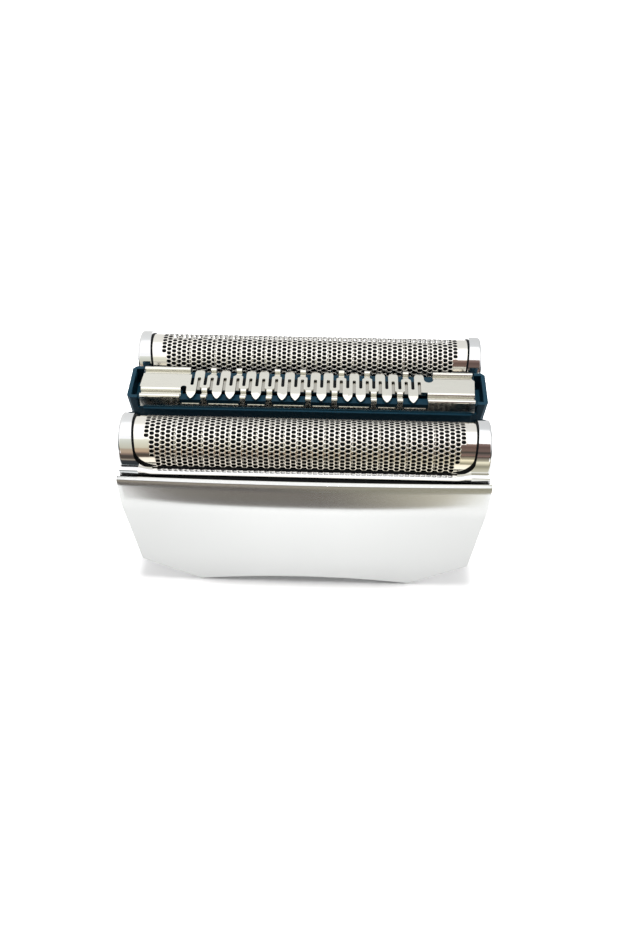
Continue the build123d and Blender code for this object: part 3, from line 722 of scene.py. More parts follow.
    # Arch: the middle of the sheet wraps half a cylinder, and the rest hangs as straight legs.
    angle = add_node(
        tree,
        "ShaderNodeClamp",
        {
            "Value": add_node(tree, "ShaderNodeMath", {0: around, 1: given["radius"]}, operation="DIVIDE"),
            "Min": -math.pi / 2,
            "Max": math.pi / 2,
        },
    )
    sine = add_node(tree, "ShaderNodeMath", {0: angle}, operation="SINE")
    cosine = add_node(tree, "ShaderNodeMath", {0: angle}, operation="COSINE")
    quarter = add_node(tree, "ShaderNodeMath", {0: given["radius"], 1: math.pi / 2}, operation="MULTIPLY")
    reach = add_node(tree, "ShaderNodeMath", {0: around}, operation="ABSOLUTE")
    hang = add_node(
        tree,
        "ShaderNodeMath",
        {0: add_node(tree, "ShaderNodeMath", {0: reach, 1: quarter}, operation="SUBTRACT"), 1: 0.0},
        operation="MAXIMUM",
    )
    across = add_node(
        tree,
        "ShaderNodeMath",
        {0: sine, 1: given["radius"], 2: given["axis_y"]},
        operation="MULTIPLY_ADD",
    )
    crown = add_node(
        tree,
        "ShaderNodeMath",
        {0: cosine, 1: given["radius"], 2: given["axis_z"]},
        operation="MULTIPLY_ADD",
    )
    height = add_node(tree, "ShaderNodeMath", {0: crown, 1: hang}, operation="SUBTRACT")
    arched = add_node(
        tree,
        "GeometryNodeSetPosition",
        {
            "Geometry": welded,
            "Position": add_node(tree, "ShaderNodeCombineXYZ", {"X": along, "Y": across, "Z": height}),
        },
    )
    shape.give(arched.outputs[0], given["material"])
    return shape


@dataclass
class FoilUnit:
    """One floating foil: pierced nickel sheet in a chromed frame, with its row of cutter blades inside."""

    side: Side
    thickness: float = 0.035
    column_pitch: float = 0.629
    row_pitch: float = 0.53
    hole_width: float = 0.56
    hole_height: float = 0.42
    hole_bend: tuple[Point, Point] = ((0.84, 0.60), (0.48, 0.96))
    columns_each_side: int = 32
    rows_each_side: int = 14
    field_half: float = 18.4
    first_step: float = 1.95
    second_step: float = 4.5
    field_end: float = 5.95
    rail_width: float = 0.75
    rail_height: float = 1.8
    rail_round: float = 0.12
    rail_drop: float = 0.22
    rail_end_rise: float = 0.15
    rail_bend: Point = (17.6, 19.6)
    rail_fall: float = 0.2
    rail_steps: int = 8
    cap_gap: float = 0.10
    cap_wall: float = 0.27
    cap_end_wall: float = 0.45
    cap_length: float = 1.5
    cap_round: float = 0.38
    leg_steps: int = 8
    arch_steps: int = 40
    edge_steps: int = 6
    frame_sharp_degrees: float = 32.0
    inward_share: float = 0.5
    window_lean: float = 0.55
    window_corner: float = 2.0
    blade_pitch: float = 1.58
    blade_thickness: float = 0.13
    blade_ring: float = 0.75
    blade_steps: int = 28
    core_drop: float = 0.3
    core_end_gap: float = 1.1
    lip_gap: float = 0.05
    lip_thickness: float = 0.04
    lip_reach: float = 0.18
    lip_tuck: float = 0.5
    lip_height: float = 0.05
    lip_corner: float = 2.5

    def __post_init__(self) -> None:
        """Read the places of this unit's nodes from the frame."""
        self.foil = Extent.of(f"{self.side.label}_foil")
        self.frame = Extent.of(f"{self.side.label}_foil_frame")
        self.blades = Extent.of(f"{self.side.label}_cutter_blades")
        self.axis_y = self.foil.centre.y
        self.radius = self.foil.size.y / 2
        self.axis_z = self.foil.high.z - self.radius

    def cell(self, name: str, pierced: bool) -> bpy.types.Object:
        """Draw one flat cell of the lattice: a hexagon that tiles the sheet, with or without its hole.

        Args:
            name: Name of the helper object.
            pierced: Whether the cell has a hole.

        Returns:
            The helper object.
        """
        column, row = self.column_pitch, self.row_pitch
        point_x = (column ** 2 + row ** 2 / 4) / (2 * column)
        corner_x = column - point_x
        quarter = [(point_x, 0), (column / 2, row / 4), (corner_x, row / 2), (0, row / 2)]
        half_width, half_height = self.hole_width / 2, self.hole_height / 2
        bend = [(across * half_width, up * half_height) for across, up in self.hole_bend]
        hole_quarter = [(half_width, 0), *bend, (0, half_height)]
        bm = bmesh.new()
        rim = self.whole_turn(quarter)
        if pierced:
            hole = self.whole_turn(hole_quarter)
            rows = [[(x, y, 0) for x, y in loop + loop[:1]] for loop in (rim, hole)]
            add_grid(bm, rows)
        else:
            bm.faces.new([bm.verts.new((x, y, 0)) for x, y in rim])
        return mesh_object(name, bm)

    @staticmethod
    def whole_turn(quarter: Sequence[Point]) -> list[Point]:
        """Mirror a quarter outline from the X axis to the Y axis into a closed loop."""
        half = list(quarter) + [(-x, y) for x, y in reversed(quarter[:-1])]
        return half + [(x, -y) for x, y in reversed(half[1:-1])]

    def build_foil(self, shape: NodeShape, material: bpy.types.Material) -> bpy.types.Object:
        """Pierce and arch the sheet, then give it its thickness.

        Args:
            shape: The pierced arch tree.
            material: The foil's material.

        Returns:
            The foil as a plain mesh.
        """
        pierced = self.cell("pierced_cell", True)
        blank = self.cell("blank_cell", False)
        obj = mesh_object(f"pierced_foil_{self.side.label}", bmesh.new())
        middle_radius = self.radius - self.thickness / 2
        legs = self.axis_z - self.foil.low.z
        shape.attach(
            obj,
            pierced_cell=pierced,
            blank_cell=blank,
            column_pitch=self.column_pitch * MM,
            row_pitch=self.row_pitch * MM,
            columns_each_side=self.columns_each_side,
            rows_each_side=self.rows_each_side,
            half_length=self.foil.high.x * MM,
            half_sheet=(middle_radius * math.pi / 2 + legs) * MM,
            field_half=self.field_half * MM,
            first_step=self.first_step * MM,
            second_step=self.second_step * MM,
            field_end=self.field_end * MM,
            radius=middle_radius * MM,
            axis_y=self.axis_y * MM,
            axis_z=self.axis_z * MM,
            material=material,
        )
        add_modifier(obj, "SOLIDIFY", thickness=self.thickness * MM, offset=0.0)
        settle(obj)
        remove(pierced, blank)
        return obj

    def looks_inwards(self, middle: Vector, normal: Vector) -> bool:
        """Whether a face of the foil looks towards the cutter or into a hole."""
        outwards = Vector((0, middle.y - self.axis_y, max(middle.z - self.axis_z, 0)))
        return normal.dot(outwards) < self.inward_share * outwards.length

    def window_x(self, z: float, inset: float = 0.0, sill: float = 0.0, corner: float = 0.0) -> float:
        """Half length of the frame's window at a height, with its round lower corner.

        Args:
            z: Height.
            inset: How far inside the window's ends the wanted line runs.
            sill: How far above the rail it ends.
            corner: Radius of its corner; zero takes the window's own.

        Returns:
            Distance from the middle of the foil.
        """
        corner = corner or self.window_corner
        rail_top = self.frame.low.z + self.rail_height
        lean = self.window_lean / (self.frame.high.z - rail_top)
        centre_z = rail_top + sill + corner
        top_x = self.frame.high.x - self.cap_length - inset
        edge_x = top_x - lean * (self.frame.high.z - max(z, centre_z))
        drop = min(max(centre_z - z, 0), corner)
        return edge_x - corner + math.sqrt(corner ** 2 - drop ** 2)

    def arch(self, radius: float, bottom: float) -> list[Point]:
        """Section of a cap: up one leg, over the arch and down the other.

        Args:
            radius: Radius of the arch.
            bottom: Height of the feet.

        Returns:
            Y and Z of the section's points.
        """
        rail_top = self.frame.low.z + self.rail_height
        rise = self.axis_z - rail_top
        leg = [bottom]
        leg += [rail_top + rise * (step / self.leg_steps) ** 2 for step in range(self.leg_steps)]
        up = [(self.axis_y - radius, z) for z in leg]
        over = [
            (self.axis_y - radius * math.cos(turn), self.axis_z + radius * math.sin(turn))
            for turn in half_turn(self.arch_steps)
        ]
        down = [(self.axis_y + radius, z) for z in reversed(leg)]
        return up + over + down

    def add_cap(self, bm: bmesh.types.BMesh, end: int) -> None:
        """Add one closed end cap: arched skin with a rounded outer edge, end wall and window edge.

        Args:
            bm: Mesh in millimetres.
            end: Sign of X at this end.
        """
        outer = self.radius + self.cap_gap + self.cap_wall
        inner = outer - self.cap_wall
        bottom = self.frame.low.z
        end_x = self.frame.high.x
        columns = []
        outer_path = self.arch(outer, bottom)
        columns.append([(end * self.window_x(z), y, z) for y, z in outer_path])
        for step in range(self.edge_steps + 1):
            turn = math.pi / 2 * step / self.edge_steps
            x = end_x - self.cap_round * (1 - math.sin(turn))
            ring = self.arch(outer - self.cap_round * (1 - math.cos(turn)), bottom)
            columns.append([(end * x, y, z) for y, z in ring])
        inner_path = self.arch(inner, bottom)
        wall_x = end_x - self.cap_end_wall
        back = [(end * wall_x, y, z) for y, z in inner_path]
        edge = [(end * self.window_x(z), y, z) for y, z in inner_path]
        skin = add_grid(bm, columns)
        bm.faces.new(skin[-1])
        lining = add_grid(bm, [back, edge])
        bm.faces.new(lining[0])
        for near, far, near_in, far_in in zip(skin[0], skin[0][1:], lining[1], lining[1][1:]):
            bm.faces.new((near, far, far_in, near_in))
        foot = [column[0] for column in skin] + [column[-1] for column in reversed(skin)]
        foot += [lining[1][-1], lining[0][-1], lining[0][0], lining[1][0]]
        bm.faces.new(foot)

    def add_rail(self, bm: bmesh.types.BMesh, side: int) -> None:
        """Add one closed rail whose round-edged top falls outwards and sinks below the window.

        Args:
            bm: Mesh in millimetres.
            side: Sign of Y from the foil's axis.
        """
        outer_y = self.frame.size.y / 2
        inner_y = outer_y - self.rail_width
        low, rail_top = self.frame.low.z, self.frame.low.z + self.rail_height
        start, end = self.rail_bend
        bends = [start + (end - start) * step / self.rail_steps for step in range(self.rail_steps + 1)]
        right = bends + [self.frame.high.x]
        rows = []
        for x in [-place for place in reversed(right)] + right:
            share = min(max((abs(x) - start) / (end - start), 0), 1)
            rise = (self.rail_drop + self.rail_end_rise) * share * share * (3 - 2 * share)
            high = rail_top - self.rail_drop + rise
            corners = [(inner_y, low), (inner_y, high), (outer_y, high - self.rail_fall), (outer_y, low)]
            section = rounded_path(corners, (self.rail_round / 2, self.rail_round), self.edge_steps)
            rows.append([(x, self.axis_y + side * y, z) for y, z in section + section[:1]])
        verts = add_grid(bm, rows)
        for ring in (verts[0], verts[-1]):
            bm.faces.new(ring[:-1])

    def build_frame(self) -> bpy.types.Object:
        """Unite the rails and the end caps of the frame.

        Returns:
            The frame as one closed mesh.
        """
        rails = bmesh.new()
        caps = bmesh.new()
        for sign in (-1, 1):
            self.add_rail(rails, sign)
            self.add_cap(caps, sign)
        obj = mesh_object(f"chromed_frame_{self.side.label}", rails)
        helper = mesh_object("frame_caps", caps)
        add_modifier(obj, "BOOLEAN", operation="UNION", solver="EXACT", object=helper)
        settle(obj, self.frame_sharp_degrees)
        remove(helper)
        return obj

    def build_lip(self) -> bpy.types.Object:
        """Draw the dark inner lip that borders the foil inside the frame's window: a painted shadow of the
        gap between frame and foil.

        Returns:
            The lip as a plain mesh.
        """
        radius = self.radius + self.lip_gap
        rail_top = self.frame.low.z + self.rail_height
        sill_z = rail_top + self.lip_height
        outer_x = self.frame.high.x - self.cap_length + self.lip_tuck
        bm = bmesh.new()
        path = [point for point in self.arch(radius, rail_top) if point[1] >= rail_top]
        for end in (-1, 1):
            rows = []
            for y, z in path:
                inner_x = self.window_x(max(z, sill_z), self.lip_reach, self.lip_height, self.lip_corner)
                rows.append([(end * inner_x, y, z), (end * outer_x, y, z)])
            add_grid(bm, rows)
        for side in (-1, 1):
            y = self.axis_y + side * radius
            corner_x = self.window_x(sill_z, self.lip_reach, self.lip_height, self.lip_corner)
            add_grid(bm, [[(x, y, z) for x in (-corner_x, corner_x)] for z in (self.frame.low.z, sill_z)])
        obj = mesh_object(f"foil_lip_{self.side.label}", bm)
        add_modifier(obj, "SOLIDIFY", thickness=self.lip_thickness * MM, offset=0.0)
        return settle(obj, SHARP_DEGREES)

    def half_ring(self, radius: float) -> list[Point]:
        """Half circle round the foil's axis, as Y from that axis and Z."""
        turns = half_turn(self.blade_steps)
        return [(radius * math.cos(turn), self.axis_z + radius * math.sin(turn)) for turn in turns]

    def build_blades(self, shape: NodeShape, material: bpy.types.Material) -> bpy.types.Object:
        """Repeat one arched blade along the cutter.

        Args:
            shape: The row of copies tree.
            material: The blades' material.

        Returns:
            The row of blades as a plain mesh.
        """
        radius = self.blades.size.y / 2
        bore = radius - self.blade_ring
        foot = self.blades.low.z
        section = []
        for reach in (radius, bore):
            section.append([(reach, foot)] + self.half_ring(reach) + [(-reach, foot)])
        half = self.blade_thickness / 2
        loops = ((half, section[0]), (half, section[1]), (-half, section[1]), (-half, section[0]))
        rows = [[(x, self.axis_y + y, z) for y, z in path] for x, path in loops]
        bm = bmesh.new()
        verts = add_grid(bm, rows + rows[:1])
        for place in (0, -1):
            bm.faces.new([row[place] for row in verts[:4]])
        obj = mesh_object(f"cutter_blade_row_{self.side.label}", bm)
        count = int(self.blades.size.x / self.blade_pitch) + 1
        shape.attach(obj, count=count, pitch=self.blade_pitch * MM, material=material)
        return settle(obj, SHARP_DEGREES)

    def build_core(self) -> bpy.types.Object:
        """Draw the moulded core that the blades stand out of.

        Returns:
            The core as a closed mesh.
        """
        radius = self.blades.size.y / 2 - self.core_drop
        foot = self.blades.low.z
        section = self.half_ring(radius) + [(-radius, foot), (radius, foot)]
        half = self.foil.high.x - self.core_end_gap
        bm = bmesh.new()
        rows = [[(x, self.axis_y + y, z) for y, z in section + section[:1]] for x in (-half, half)]
        for ring in add_grid(bm, rows):
            bm.faces.new(ring[:-1])
        return settle(mesh_object(f"cutter_core_{self.side.label}", bm), SHARP_DEGREES)

    def build(self, shapes: dict[str, NodeShape], materials: dict[str, bpy.types.Material]) -> None:
        """Build and dress the foil, its frame and lip, and the blades with their core.

        Args:
            shapes: The Geometry Nodes trees, by name.
            materials: The built materials.
        """
        label = self.side.label
        foil = self.build_foil(shapes["pierced_arch"], materials[FOIL_NICKEL.name])
        dress(foil, FOIL_NICKEL, materials, self.side.foil_unit, f"{label}_foil")
        # The foil's inner faces and hole walls get the near-black nickel: painted shade inside the foil.
        line(foil, materials[INNER_NICKEL_PAINTED_SHADE.name], self.looks_inwards)
        dress(self.build_frame(), CHROME_PLATING, materials, self.side.foil_unit, f"{label}_foil_frame")
        # Near-black lip along the window's edge: painted shadow of the gap between frame and foil.
        dress(self.build_lip(), BLACK_ACETAL_AND_SHADE, materials, self.side.foil_unit)
        blades = self.build_blades(shapes["row_of_copies"], materials[BLADE_STEEL.name])
        dress(blades, BLADE_STEEL, materials, self.side.cutter, f"{label}_cutter_blades")
        dress(self.build_core(), BLACK_ACETAL_AND_SHADE, materials, self.side.cutter)


@dataclass
class TrimmerComb:
    """Folded steel sheet: end plates, a zigzag of teeth, and straps that lead to two walls.

    Each strap runs over a groove and a crest. Teeth without a strap curve in to a point.
    """

    sheet: float = 0.15
    plate_half: float = 1.525
    crest_half: float = 2.305
    groove_drop: float = 0.60
    sill_height: float = 0.45
    fold_round: float = 0.3
    groove_round: float = 0.15
    crest_round: float = 0.2
    corner_cut: float = 0.15
    tooth_count: int = 18
    tooth_pitch: float = 1.568
    tooth_width: float = 1.18
    tooth_inset: float = 0.18
    zigzag_shift: float = -0.23
    front_point: float = 0.88
    rear_point: float = 1.2
    point_round: float = 0.06
    droop: float = 0.38
    tip_length: float = 1.0
    tip_steps: int = 6
    flat_degrees: float = 0.5
    slot_end: float = 0.75
    slot_steps: int = 8
    strap_width: float = 0.66
    notch_drop: float = 0.1
    notch_round: float = 0.12
    notch_steps: int = 3
    strap_period: int = 5
    strap_numbers: tuple[int, ...] = (1, 4)
    shoulder_gap: float = 0.93
    sill_round: float = 0.22
    sill_lip: float = 0.06
    sill_steps: int = 4
    bend_steps: int = 5

    def __post_init__(self) -> None:
        """Read the comb's place from the frame and work out its folds."""
        comb = Extent.of("trimmer_comb")
        self.half_length = comb.high.x
        self.reach = comb.high.y - self.tooth_inset
        self.wall_half = comb.high.y - self.sheet / 2
        self.plate_z = comb.high.z - self.sheet / 2
        self.bottom_z = comb.low.z
        self.bend_y = self.plate_half - self.fold_round
        self.first_x = -(self.tooth_count - 0.5) * self.tooth_pitch / 2
        self.fold_end = self.half_length - self.corner_cut
        self.near_end = -self.first_x + self.tooth_width / 2 + self.shoulder_gap
        self.far_end = self.near_end - self.tooth_pitch / 2

    def teeth(self, turn: int) -> list[tuple[float, bool]]:
        """Place of each tooth of one side and whether a strap holds it.

        Args:
            turn: One for the front, minus one for the rear, which is drawn turned half round.

        Returns:
            X as drawn and the strap mark, from the first tooth on.
        """
        first = self.first_x + turn * self.zigzag_shift
        return [
            (first + number * self.tooth_pitch, number % self.strap_period in self.strap_numbers)
            for number in range(self.tooth_count)
        ]

    def tooth_outline(self, x: float, strapped: bool, point: float) -> list[Point]:
        """Outline of one front tooth from its left root to its right root.

        Args:
            x: Middle of the tooth.
            strapped: Whether the tooth is a blunt one that runs into a strap.
            point: Length over which any other tooth curves in to its tip.

        Returns:
            X and Y of the outline's points.
        """
        half = self.tooth_width / 2
        if strapped:
            strap = self.strap_width / 2
            notch = self.bend_y - (half - strap)
            corners = [(x - half, 0), (x - half, -notch - self.notch_drop), (x - strap, -self.bend_y)]
            left = rounded_path(corners, (self.notch_round,), self.notch_steps)
        else:
            shoulder = self.reach - point
            inset = half - self.point_round
            radius = (inset ** 2 + point ** 2) / (2 * inset)
            sweep = math.asin(point / radius)
            left = [(x - half, 0)]
            for step in range(self.bend_steps + 1):
                turn = sweep * step / self.bend_steps
                left.append((x - half + radius * (1 - math.cos(turn)), -shoulder - radius * math.sin(turn)))
        return left[1:] + [(2 * x - px, py) for px, py in reversed(left[1:])]

    def slot_outline(self, left: float, right: float) -> list[Point]:
        """Round inner end of a slot that opens to the front, from its left edge to its right."""
        radius = (right - left) / 2
        middle = (left + right) / 2
        level = self.slot_end - radius
        turns = half_turn(self.slot_steps)
        return [(middle - radius * math.cos(turn), level + radius * math.sin(turn)) for turn in turns]

    def half_outline(self, turn: int) -> list[Point]:
        """Half of the plate's outline, drawn as the front one, from the left end to the right end.

        Args:
            turn: One for the front, minus one for the rear.

        Returns:
            X and Y of the outline's points.
        """
        half = self.tooth_width / 2
        cut = self.half_length - self.fold_end
        gap = self.tooth_pitch - self.tooth_width
        teeth = self.teeth(turn)
        outline = [(-self.half_length, -self.bend_y + cut), (-self.fold_end, -self.bend_y)]
        bite = (teeth[0][0] - half + self.near_end) / 2
        bite_x = -self.near_end + bite
        for angle in half_turn(self.slot_steps):
            outline.append((bite_x - bite * math.cos(angle), -self.bend_y + bite * math.sin(angle)))
        point = self.front_point if turn == 1 else self.rear_point
        for x, strapped in teeth:
            outline += self.tooth_outline(x, strapped, point)
            outline += self.slot_outline(x + half, x + half + gap)
        plate_x = teeth[-1][0] + half + gap
        outline += [(plate_x, -self.bend_y), (self.far_end, -self.bend_y), (self.fold_end, -self.bend_y)]
        return outline

    def droop_at(self, y: float) -> float:
        """Drop of the sheet below the plate at a distance from the middle line."""
        share = max(abs(y) - self.reach + self.tip_length, 0) / self.tip_length
        return self.droop * share ** 2

    def add_plate(self, bm: bmesh.types.BMesh) -> None:
        """Add the end plates and the zigzag as one sheet that droops towards the tips.

        Args:
            bm: Mesh in millimetres.
        """
        outline = self.half_outline(1) + [(-x, -y) for x, y in self.half_outline(-1)]
        bm.faces.new([bm.verts.new((x, y, 0)) for x, y in outline]).normal_update()
        bmesh.ops.triangulate(bm, faces=bm.faces, ngon_method="EAR_CLIP")
        steps = range(1, self.tip_steps + 1)
        cuts = [self.bend_y] + [self.reach - self.tip_length * step / self.tip_steps for step in steps]
        for y in [sign * cut for cut in cuts for sign in (-1, 1)]:
            geometry = bm.verts[:] + bm.edges[:] + bm.faces[:]
            bmesh.ops.bisect_plane(bm, geom=geometry, plane_co=(0, y, 0), plane_no=(0, 1, 0), dist=WELD_MM)
        bmesh.ops.remove_doubles(bm, verts=bm.verts, dist=WELD_MM)
        for vert in bm.verts:
            vert.co.z = self.plate_z - self.droop_at(vert.co.y)
        flat = math.radians(self.flat_degrees)
        bmesh.ops.dissolve_limit(bm, angle_limit=flat, verts=bm.verts, edges=bm.edges)

    def fold_path(self) -> list[Point]:
        """Path of the folds, from the plate's edge over the groove and crest to the wall's top.

        Returns:
            Y and Z of the path's points.
        """
        groove_z = self.plate_z - self.groove_drop
        corners = [
            (self.bend_y, self.plate_z),
            (self.plate_half, self.plate_z),
            (self.plate_half, groove_z),
            (self.crest_half, groove_z),
            (self.crest_half, self.plate_z),
            (self.wall_half, self.plate_z),
            (self.wall_half, self.wall_top()),
        ]
        radii = (self.fold_round, self.groove_round, self.groove_round, self.crest_round, self.crest_round)
        return rounded_path(corners, radii, self.bend_steps)

    def wall_top(self) -> float:
        """Height where the crest's outer bend ends and the flat wall begins."""
        return self.plate_z - self.crest_round

    def ties(self, turn: int) -> list[Point]:
        """Stretches of X where one side of the plate is folded down: both ends and the straps."""
        half = self.strap_width / 2
        straps = [(x - half, x + half) for x, strapped in self.teeth(turn) if strapped]
        return [(-self.fold_end, -self.near_end), *straps, (self.far_end, self.fold_end)]

    def add_side(self, bm: bmesh.types.BMesh, turn: int) -> None:
        """Add the folds and the wall of one long side, with the turned-in lips of its window sills.

        Args:
            bm: Mesh in millimetres.
            turn: One for the front, minus one for the rear, which is the front turned half round.
        """
        path = self.fold_path()
        ties = self.ties(turn)
        for left, right in ties:
            add_grid(bm, [[(turn * x, -turn * y, z) for x in (left, right)] for y, z in path])
        top = self.wall_top()
        sill = self.bottom_z + self.sill_height
        outline = [(self.fold_end, self.bottom_z), (self.fold_end, top)]
        for (_, left_end), (right_start, _) in zip(reversed(ties[:-1]), reversed(ties[1:])):
            corners = [(right_start, top), (right_start, sill), (left_end, sill), (left_end, top)]
            outline += rounded_path(corners, (self.sill_round, self.sill_round), self.sill_steps)
            ends = (left_end + self.sill_round, right_start - self.sill_round)
            lip = [(self.wall_half, sill), (self.wall_half - self.sill_lip, sill + self.sill_lip)]
            add_grid(bm, [[(turn * x, -turn * y, z) for x in ends] for y, z in lip])
        outline += [(-self.fold_end, top), (-self.fold_end, self.bottom_z)]
        bm.faces.new([bm.verts.new((turn * x, -turn * self.wall_half, z)) for x, z in outline])

    def build(self, materials: dict[str, bpy.types.Material]) -> None:
        """Build the folded sheet, thicken it and dress it.

        Args:
            materials: The built materials.
        """
        bm = bmesh.new()
        self.add_plate(bm)
        for turn in (1, -1):
            self.add_side(bm, turn)
        obj = mesh_object("folded_trimmer_comb", bm)
        add_modifier(obj, "SOLIDIFY", thickness=self.sheet * MM, offset=0.0)
        settle(obj, SHARP_DEGREES)
        add_modifier(obj, "WEIGHTED_NORMAL", keep_sharp=True)
        settle(obj, SHARP_DEGREES)
        dress(obj, COMB_STEEL, materials, Body.TRIMMER_UNIT, "trimmer_comb")


@dataclass
class TrimmerBlade:
    """Toothed blade that slides under the comb: bars on a front spine, seen in the comb's front slots."""

    bar_width: float = 0.8
    spine_width: float = 0.4

    def build(self, comb: TrimmerComb, shape: NodeShape, materials: dict[str, bpy.types.Material]) -> None:
        """Repeat one bar with its stretch of spine and dress the row.

        Args:
            comb: The comb above, which gives the pitch and the places of the slots.
            shape: The row of copies tree.
            materials: The built materials.
        """
        place = Extent.of("trimmer_blade")
        half = place.size.y / 2
        pitch = comb.tooth_pitch
        middle = comb.zigzag_shift + pitch / 4
        bar = self.bar_width / 2
        edges = [middle + x for x in (-pitch / 2, -bar, bar, pitch / 2)]
        spine = -half + self.spine_width
        bm = bmesh.new()
        levels = (place.low.z, place.high.z)
        for z in levels:
            add_grid(bm, [[(x, y, z) for x in edges] for y in (-half, spine)])
            add_grid(bm, [[(x, y, z) for x in edges[1:3]] for y in (spine, half)])
        rear = [(edges[0], spine), (edges[1], spine), (edges[1], half)]
        rear += [(edges[2], half), (edges[2], spine), (edges[3], spine)]
        add_grid(bm, [[(x, y, z) for x, y in rear] for z in levels])
        add_grid(bm, [[(x, -half, z) for x in edges] for z in levels])
        obj = mesh_object("toothed_trimmer_blade", bm)
        shape.attach(obj, count=comb.tooth_count, pitch=pitch * MM, material=materials[BLADE_STEEL.name])
        settle(obj, SHARP_DEGREES)
        dress(obj, BLADE_STEEL, materials, Body.TRIMMER_CUTTER, "trimmer_blade")


MOULDINGS = {
    "trimmer_carrier": BLACK_ABS,
    "chassis": BLACK_ABS,
    # The retainers, carriers and driver inside the head take the darker black: their own black with painted
    # shade.
    "front_foil_retainer": BLACK_ACETAL_AND_SHADE,
    "rear_foil_retainer": BLACK_ACETAL_AND_SHADE,
    "front_cutter_carrier": BLACK_ACETAL_AND_SHADE,
    "rear_cutter_carrier": BLACK_ACETAL_AND_SHADE,
    "trimmer_driver": BLACK_ACETAL_AND_SHADE,
}


def paint_mouldings(materials: dict[str, bpy.types.Material]) -> None:
    """Give the black moulded pieces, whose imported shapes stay, their materials."""
    for name, finish in MOULDINGS.items():
        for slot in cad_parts[name].material_slots:
            slot.material = materials[finish.name]


@dataclass
class Housing:
    """Satin shell: bowed front and rear panels with a crease, and side walls with latch windows."""

    wall: float = 0.82
    rim_lift: float = 0.22
    rim_fall: float = 0.16
    rim_width: float = 0.42
    rim_round: float = 0.06
    edge_steps: int = 4
    foot_round: float = 0.12
    corner_z: float = 3.85
    side_taper: float = 1.6
    tip_inset: float = 8.6
    arch_rise: float = 1.1
    band_height: float = 3.05
    rim_y: float = 13.095
    crease_bulge: float = 0.9
    foot_inset: float = 1.55
    crease_round: float = 4.0
    crease_steps: int = 16
    bow: float = 0.32
    side_wall: float = 0.9
    side_recess: float = 0.5
    side_top: float = 14.5
    latch_half_width: float = 4.0
    latch_low: float = 4.5
    latch_high: float = 6.5
    middle_columns: int = 28
    corner_columns: int = 12
    rows: int = 46
    edge_bevel: float = 0.12
    bevel_segments: int = 2
    bevel_degrees: float = 50.0
    sharp_degrees: float = 38.0
    inward_share: float = 0.95
    downward_share: float = 0.7

    def __post_init__(self) -> None:
        """Read the shell's place from the frame and work out its section."""
        self.half_top = Extent.of("housing").high.x
        self.top_z = Extent.of("housing").high.z
        self.half_corner = self.half_top - self.side_taper
        self.half_tip = self.half_top - self.tip_inset
        crease_y = self.rim_y + self.crease_bulge
        crease_z = self.top_z - self.band_height
        foot_y = crease_y - self.foot_inset
        corners = [(0.0, foot_y), (crease_z, crease_y), (self.top_z, self.rim_y)]
        self.section = rounded_path(corners, (self.crease_round,), self.crease_steps)

    def outer_y(self, x: float, z: float) -> float:
        """Distance of the panel's outer face from the middle plane."""
        for (low_z, low_y), (high_z, high_y) in zip(self.section, self.section[1:]):
            if z <= high_z:
                break
        face = low_y + (high_y - low_y) * (z - low_z) / (high_z - low_z)
        return face - self.bow * (x / self.half_top) ** 2

    def lower_edge(self, share: float) -> Point:
        """Point on the panel's lower edge.

        Args:
            share: Place along the edge, from minus one at the left corner to one at the right.

        Returns:
            X and Z of the point.
        """
        tip_share = self.half_tip / self.half_corner
        size = abs(share)
        if size <= tip_share:
            x = size / tip_share * self.half_tip
            z = self.arch_rise * (1 - (x / self.half_tip) ** 2)
        else:
            run = (size - tip_share) / (1 - tip_share)
            x = self.half_tip + run * (self.half_corner - self.half_tip)
            z = run * self.corner_z
        return math.copysign(x, share), z

    def ring(self, share: float, side: Side) -> list[tuple[float, float, float]]:
        """Closed section of a panel along one line from its lower edge to its rim.

        Args:
            share: Place along the panel, from minus one to one.
            side: Which panel.

        Returns:
            Points round the section.
        """
        low_x, low_z = self.lower_edge(share)
        high_x = share * self.half_top
        turns = [math.pi / 2 * step / self.edge_steps for step in range(1, self.edge_steps + 1)]
        foot = self.foot_round
        peak_z = self.top_z + self.rim_lift
        edge_z = peak_z - self.rim_fall
        heights = [step / self.rows for step in range(self.rows + 1)]
        face_low, face_high = low_z + foot, edge_z - self.rim_width
        outer = [(0.0, face_low + (face_high - face_low) * height) for height in heights]
        corners = [outer[-1], (0.0, edge_z), (self.rim_width, peak_z), (self.wall, face_high)]
        rim = rounded_path(corners, (self.rim_round, self.rim_round), self.edge_steps)[1:-1]
        inner = [(self.wall, z) for _, z in reversed(outer)]
        under = [
            (self.wall - foot * (1 - math.cos(turn)), low_z + foot * (1 - math.sin(turn)))
            for turn in turns
        ]
        front = [(self.wall - depth, z) for depth, z in reversed(under)]
        points = []
        for depth, z in outer + rim + inner + under + front:
            x = low_x + (high_x - low_x) * min((z - low_z) / (self.top_z - low_z), 1)
            points.append((x, side.value * (self.outer_y(x, z) - depth), z))
        return points

    def add_panel(self, bm: bmesh.types.BMesh, side: Side) -> None:
        """Add one closed panel.

        Args:
            bm: Mesh in millimetres.
            side: Which panel.
        """
        tip_share = self.half_tip / self.half_corner
        count = self.corner_columns
        right = [tip_share * step / self.middle_columns for step in range(self.middle_columns)]
        right += [tip_share + (1 - tip_share) * step / count for step in range(count + 1)]
        shares = [-share for share in reversed(right[1:])] + right
        rings = [self.ring(share, side) for share in shares]
        verts = add_grid(bm, [ring + ring[:1] for ring in rings])
        for ring in (verts[0], verts[-1]):
            bm.faces.new(ring[:-1])

    def looks_inwards(self, middle: Vector, normal: Vector) -> bool:
        """Whether a face of the shell looks inwards or down: bare plastic where the paint does not reach,
        and painted shade behind the rim and under the foot.
        """
        across = normal.y * math.copysign(1, middle.y)
        along = normal.x * math.copysign(1, middle.x)
        return min(across, along) < -self.inward_share or normal.z < -self.downward_share

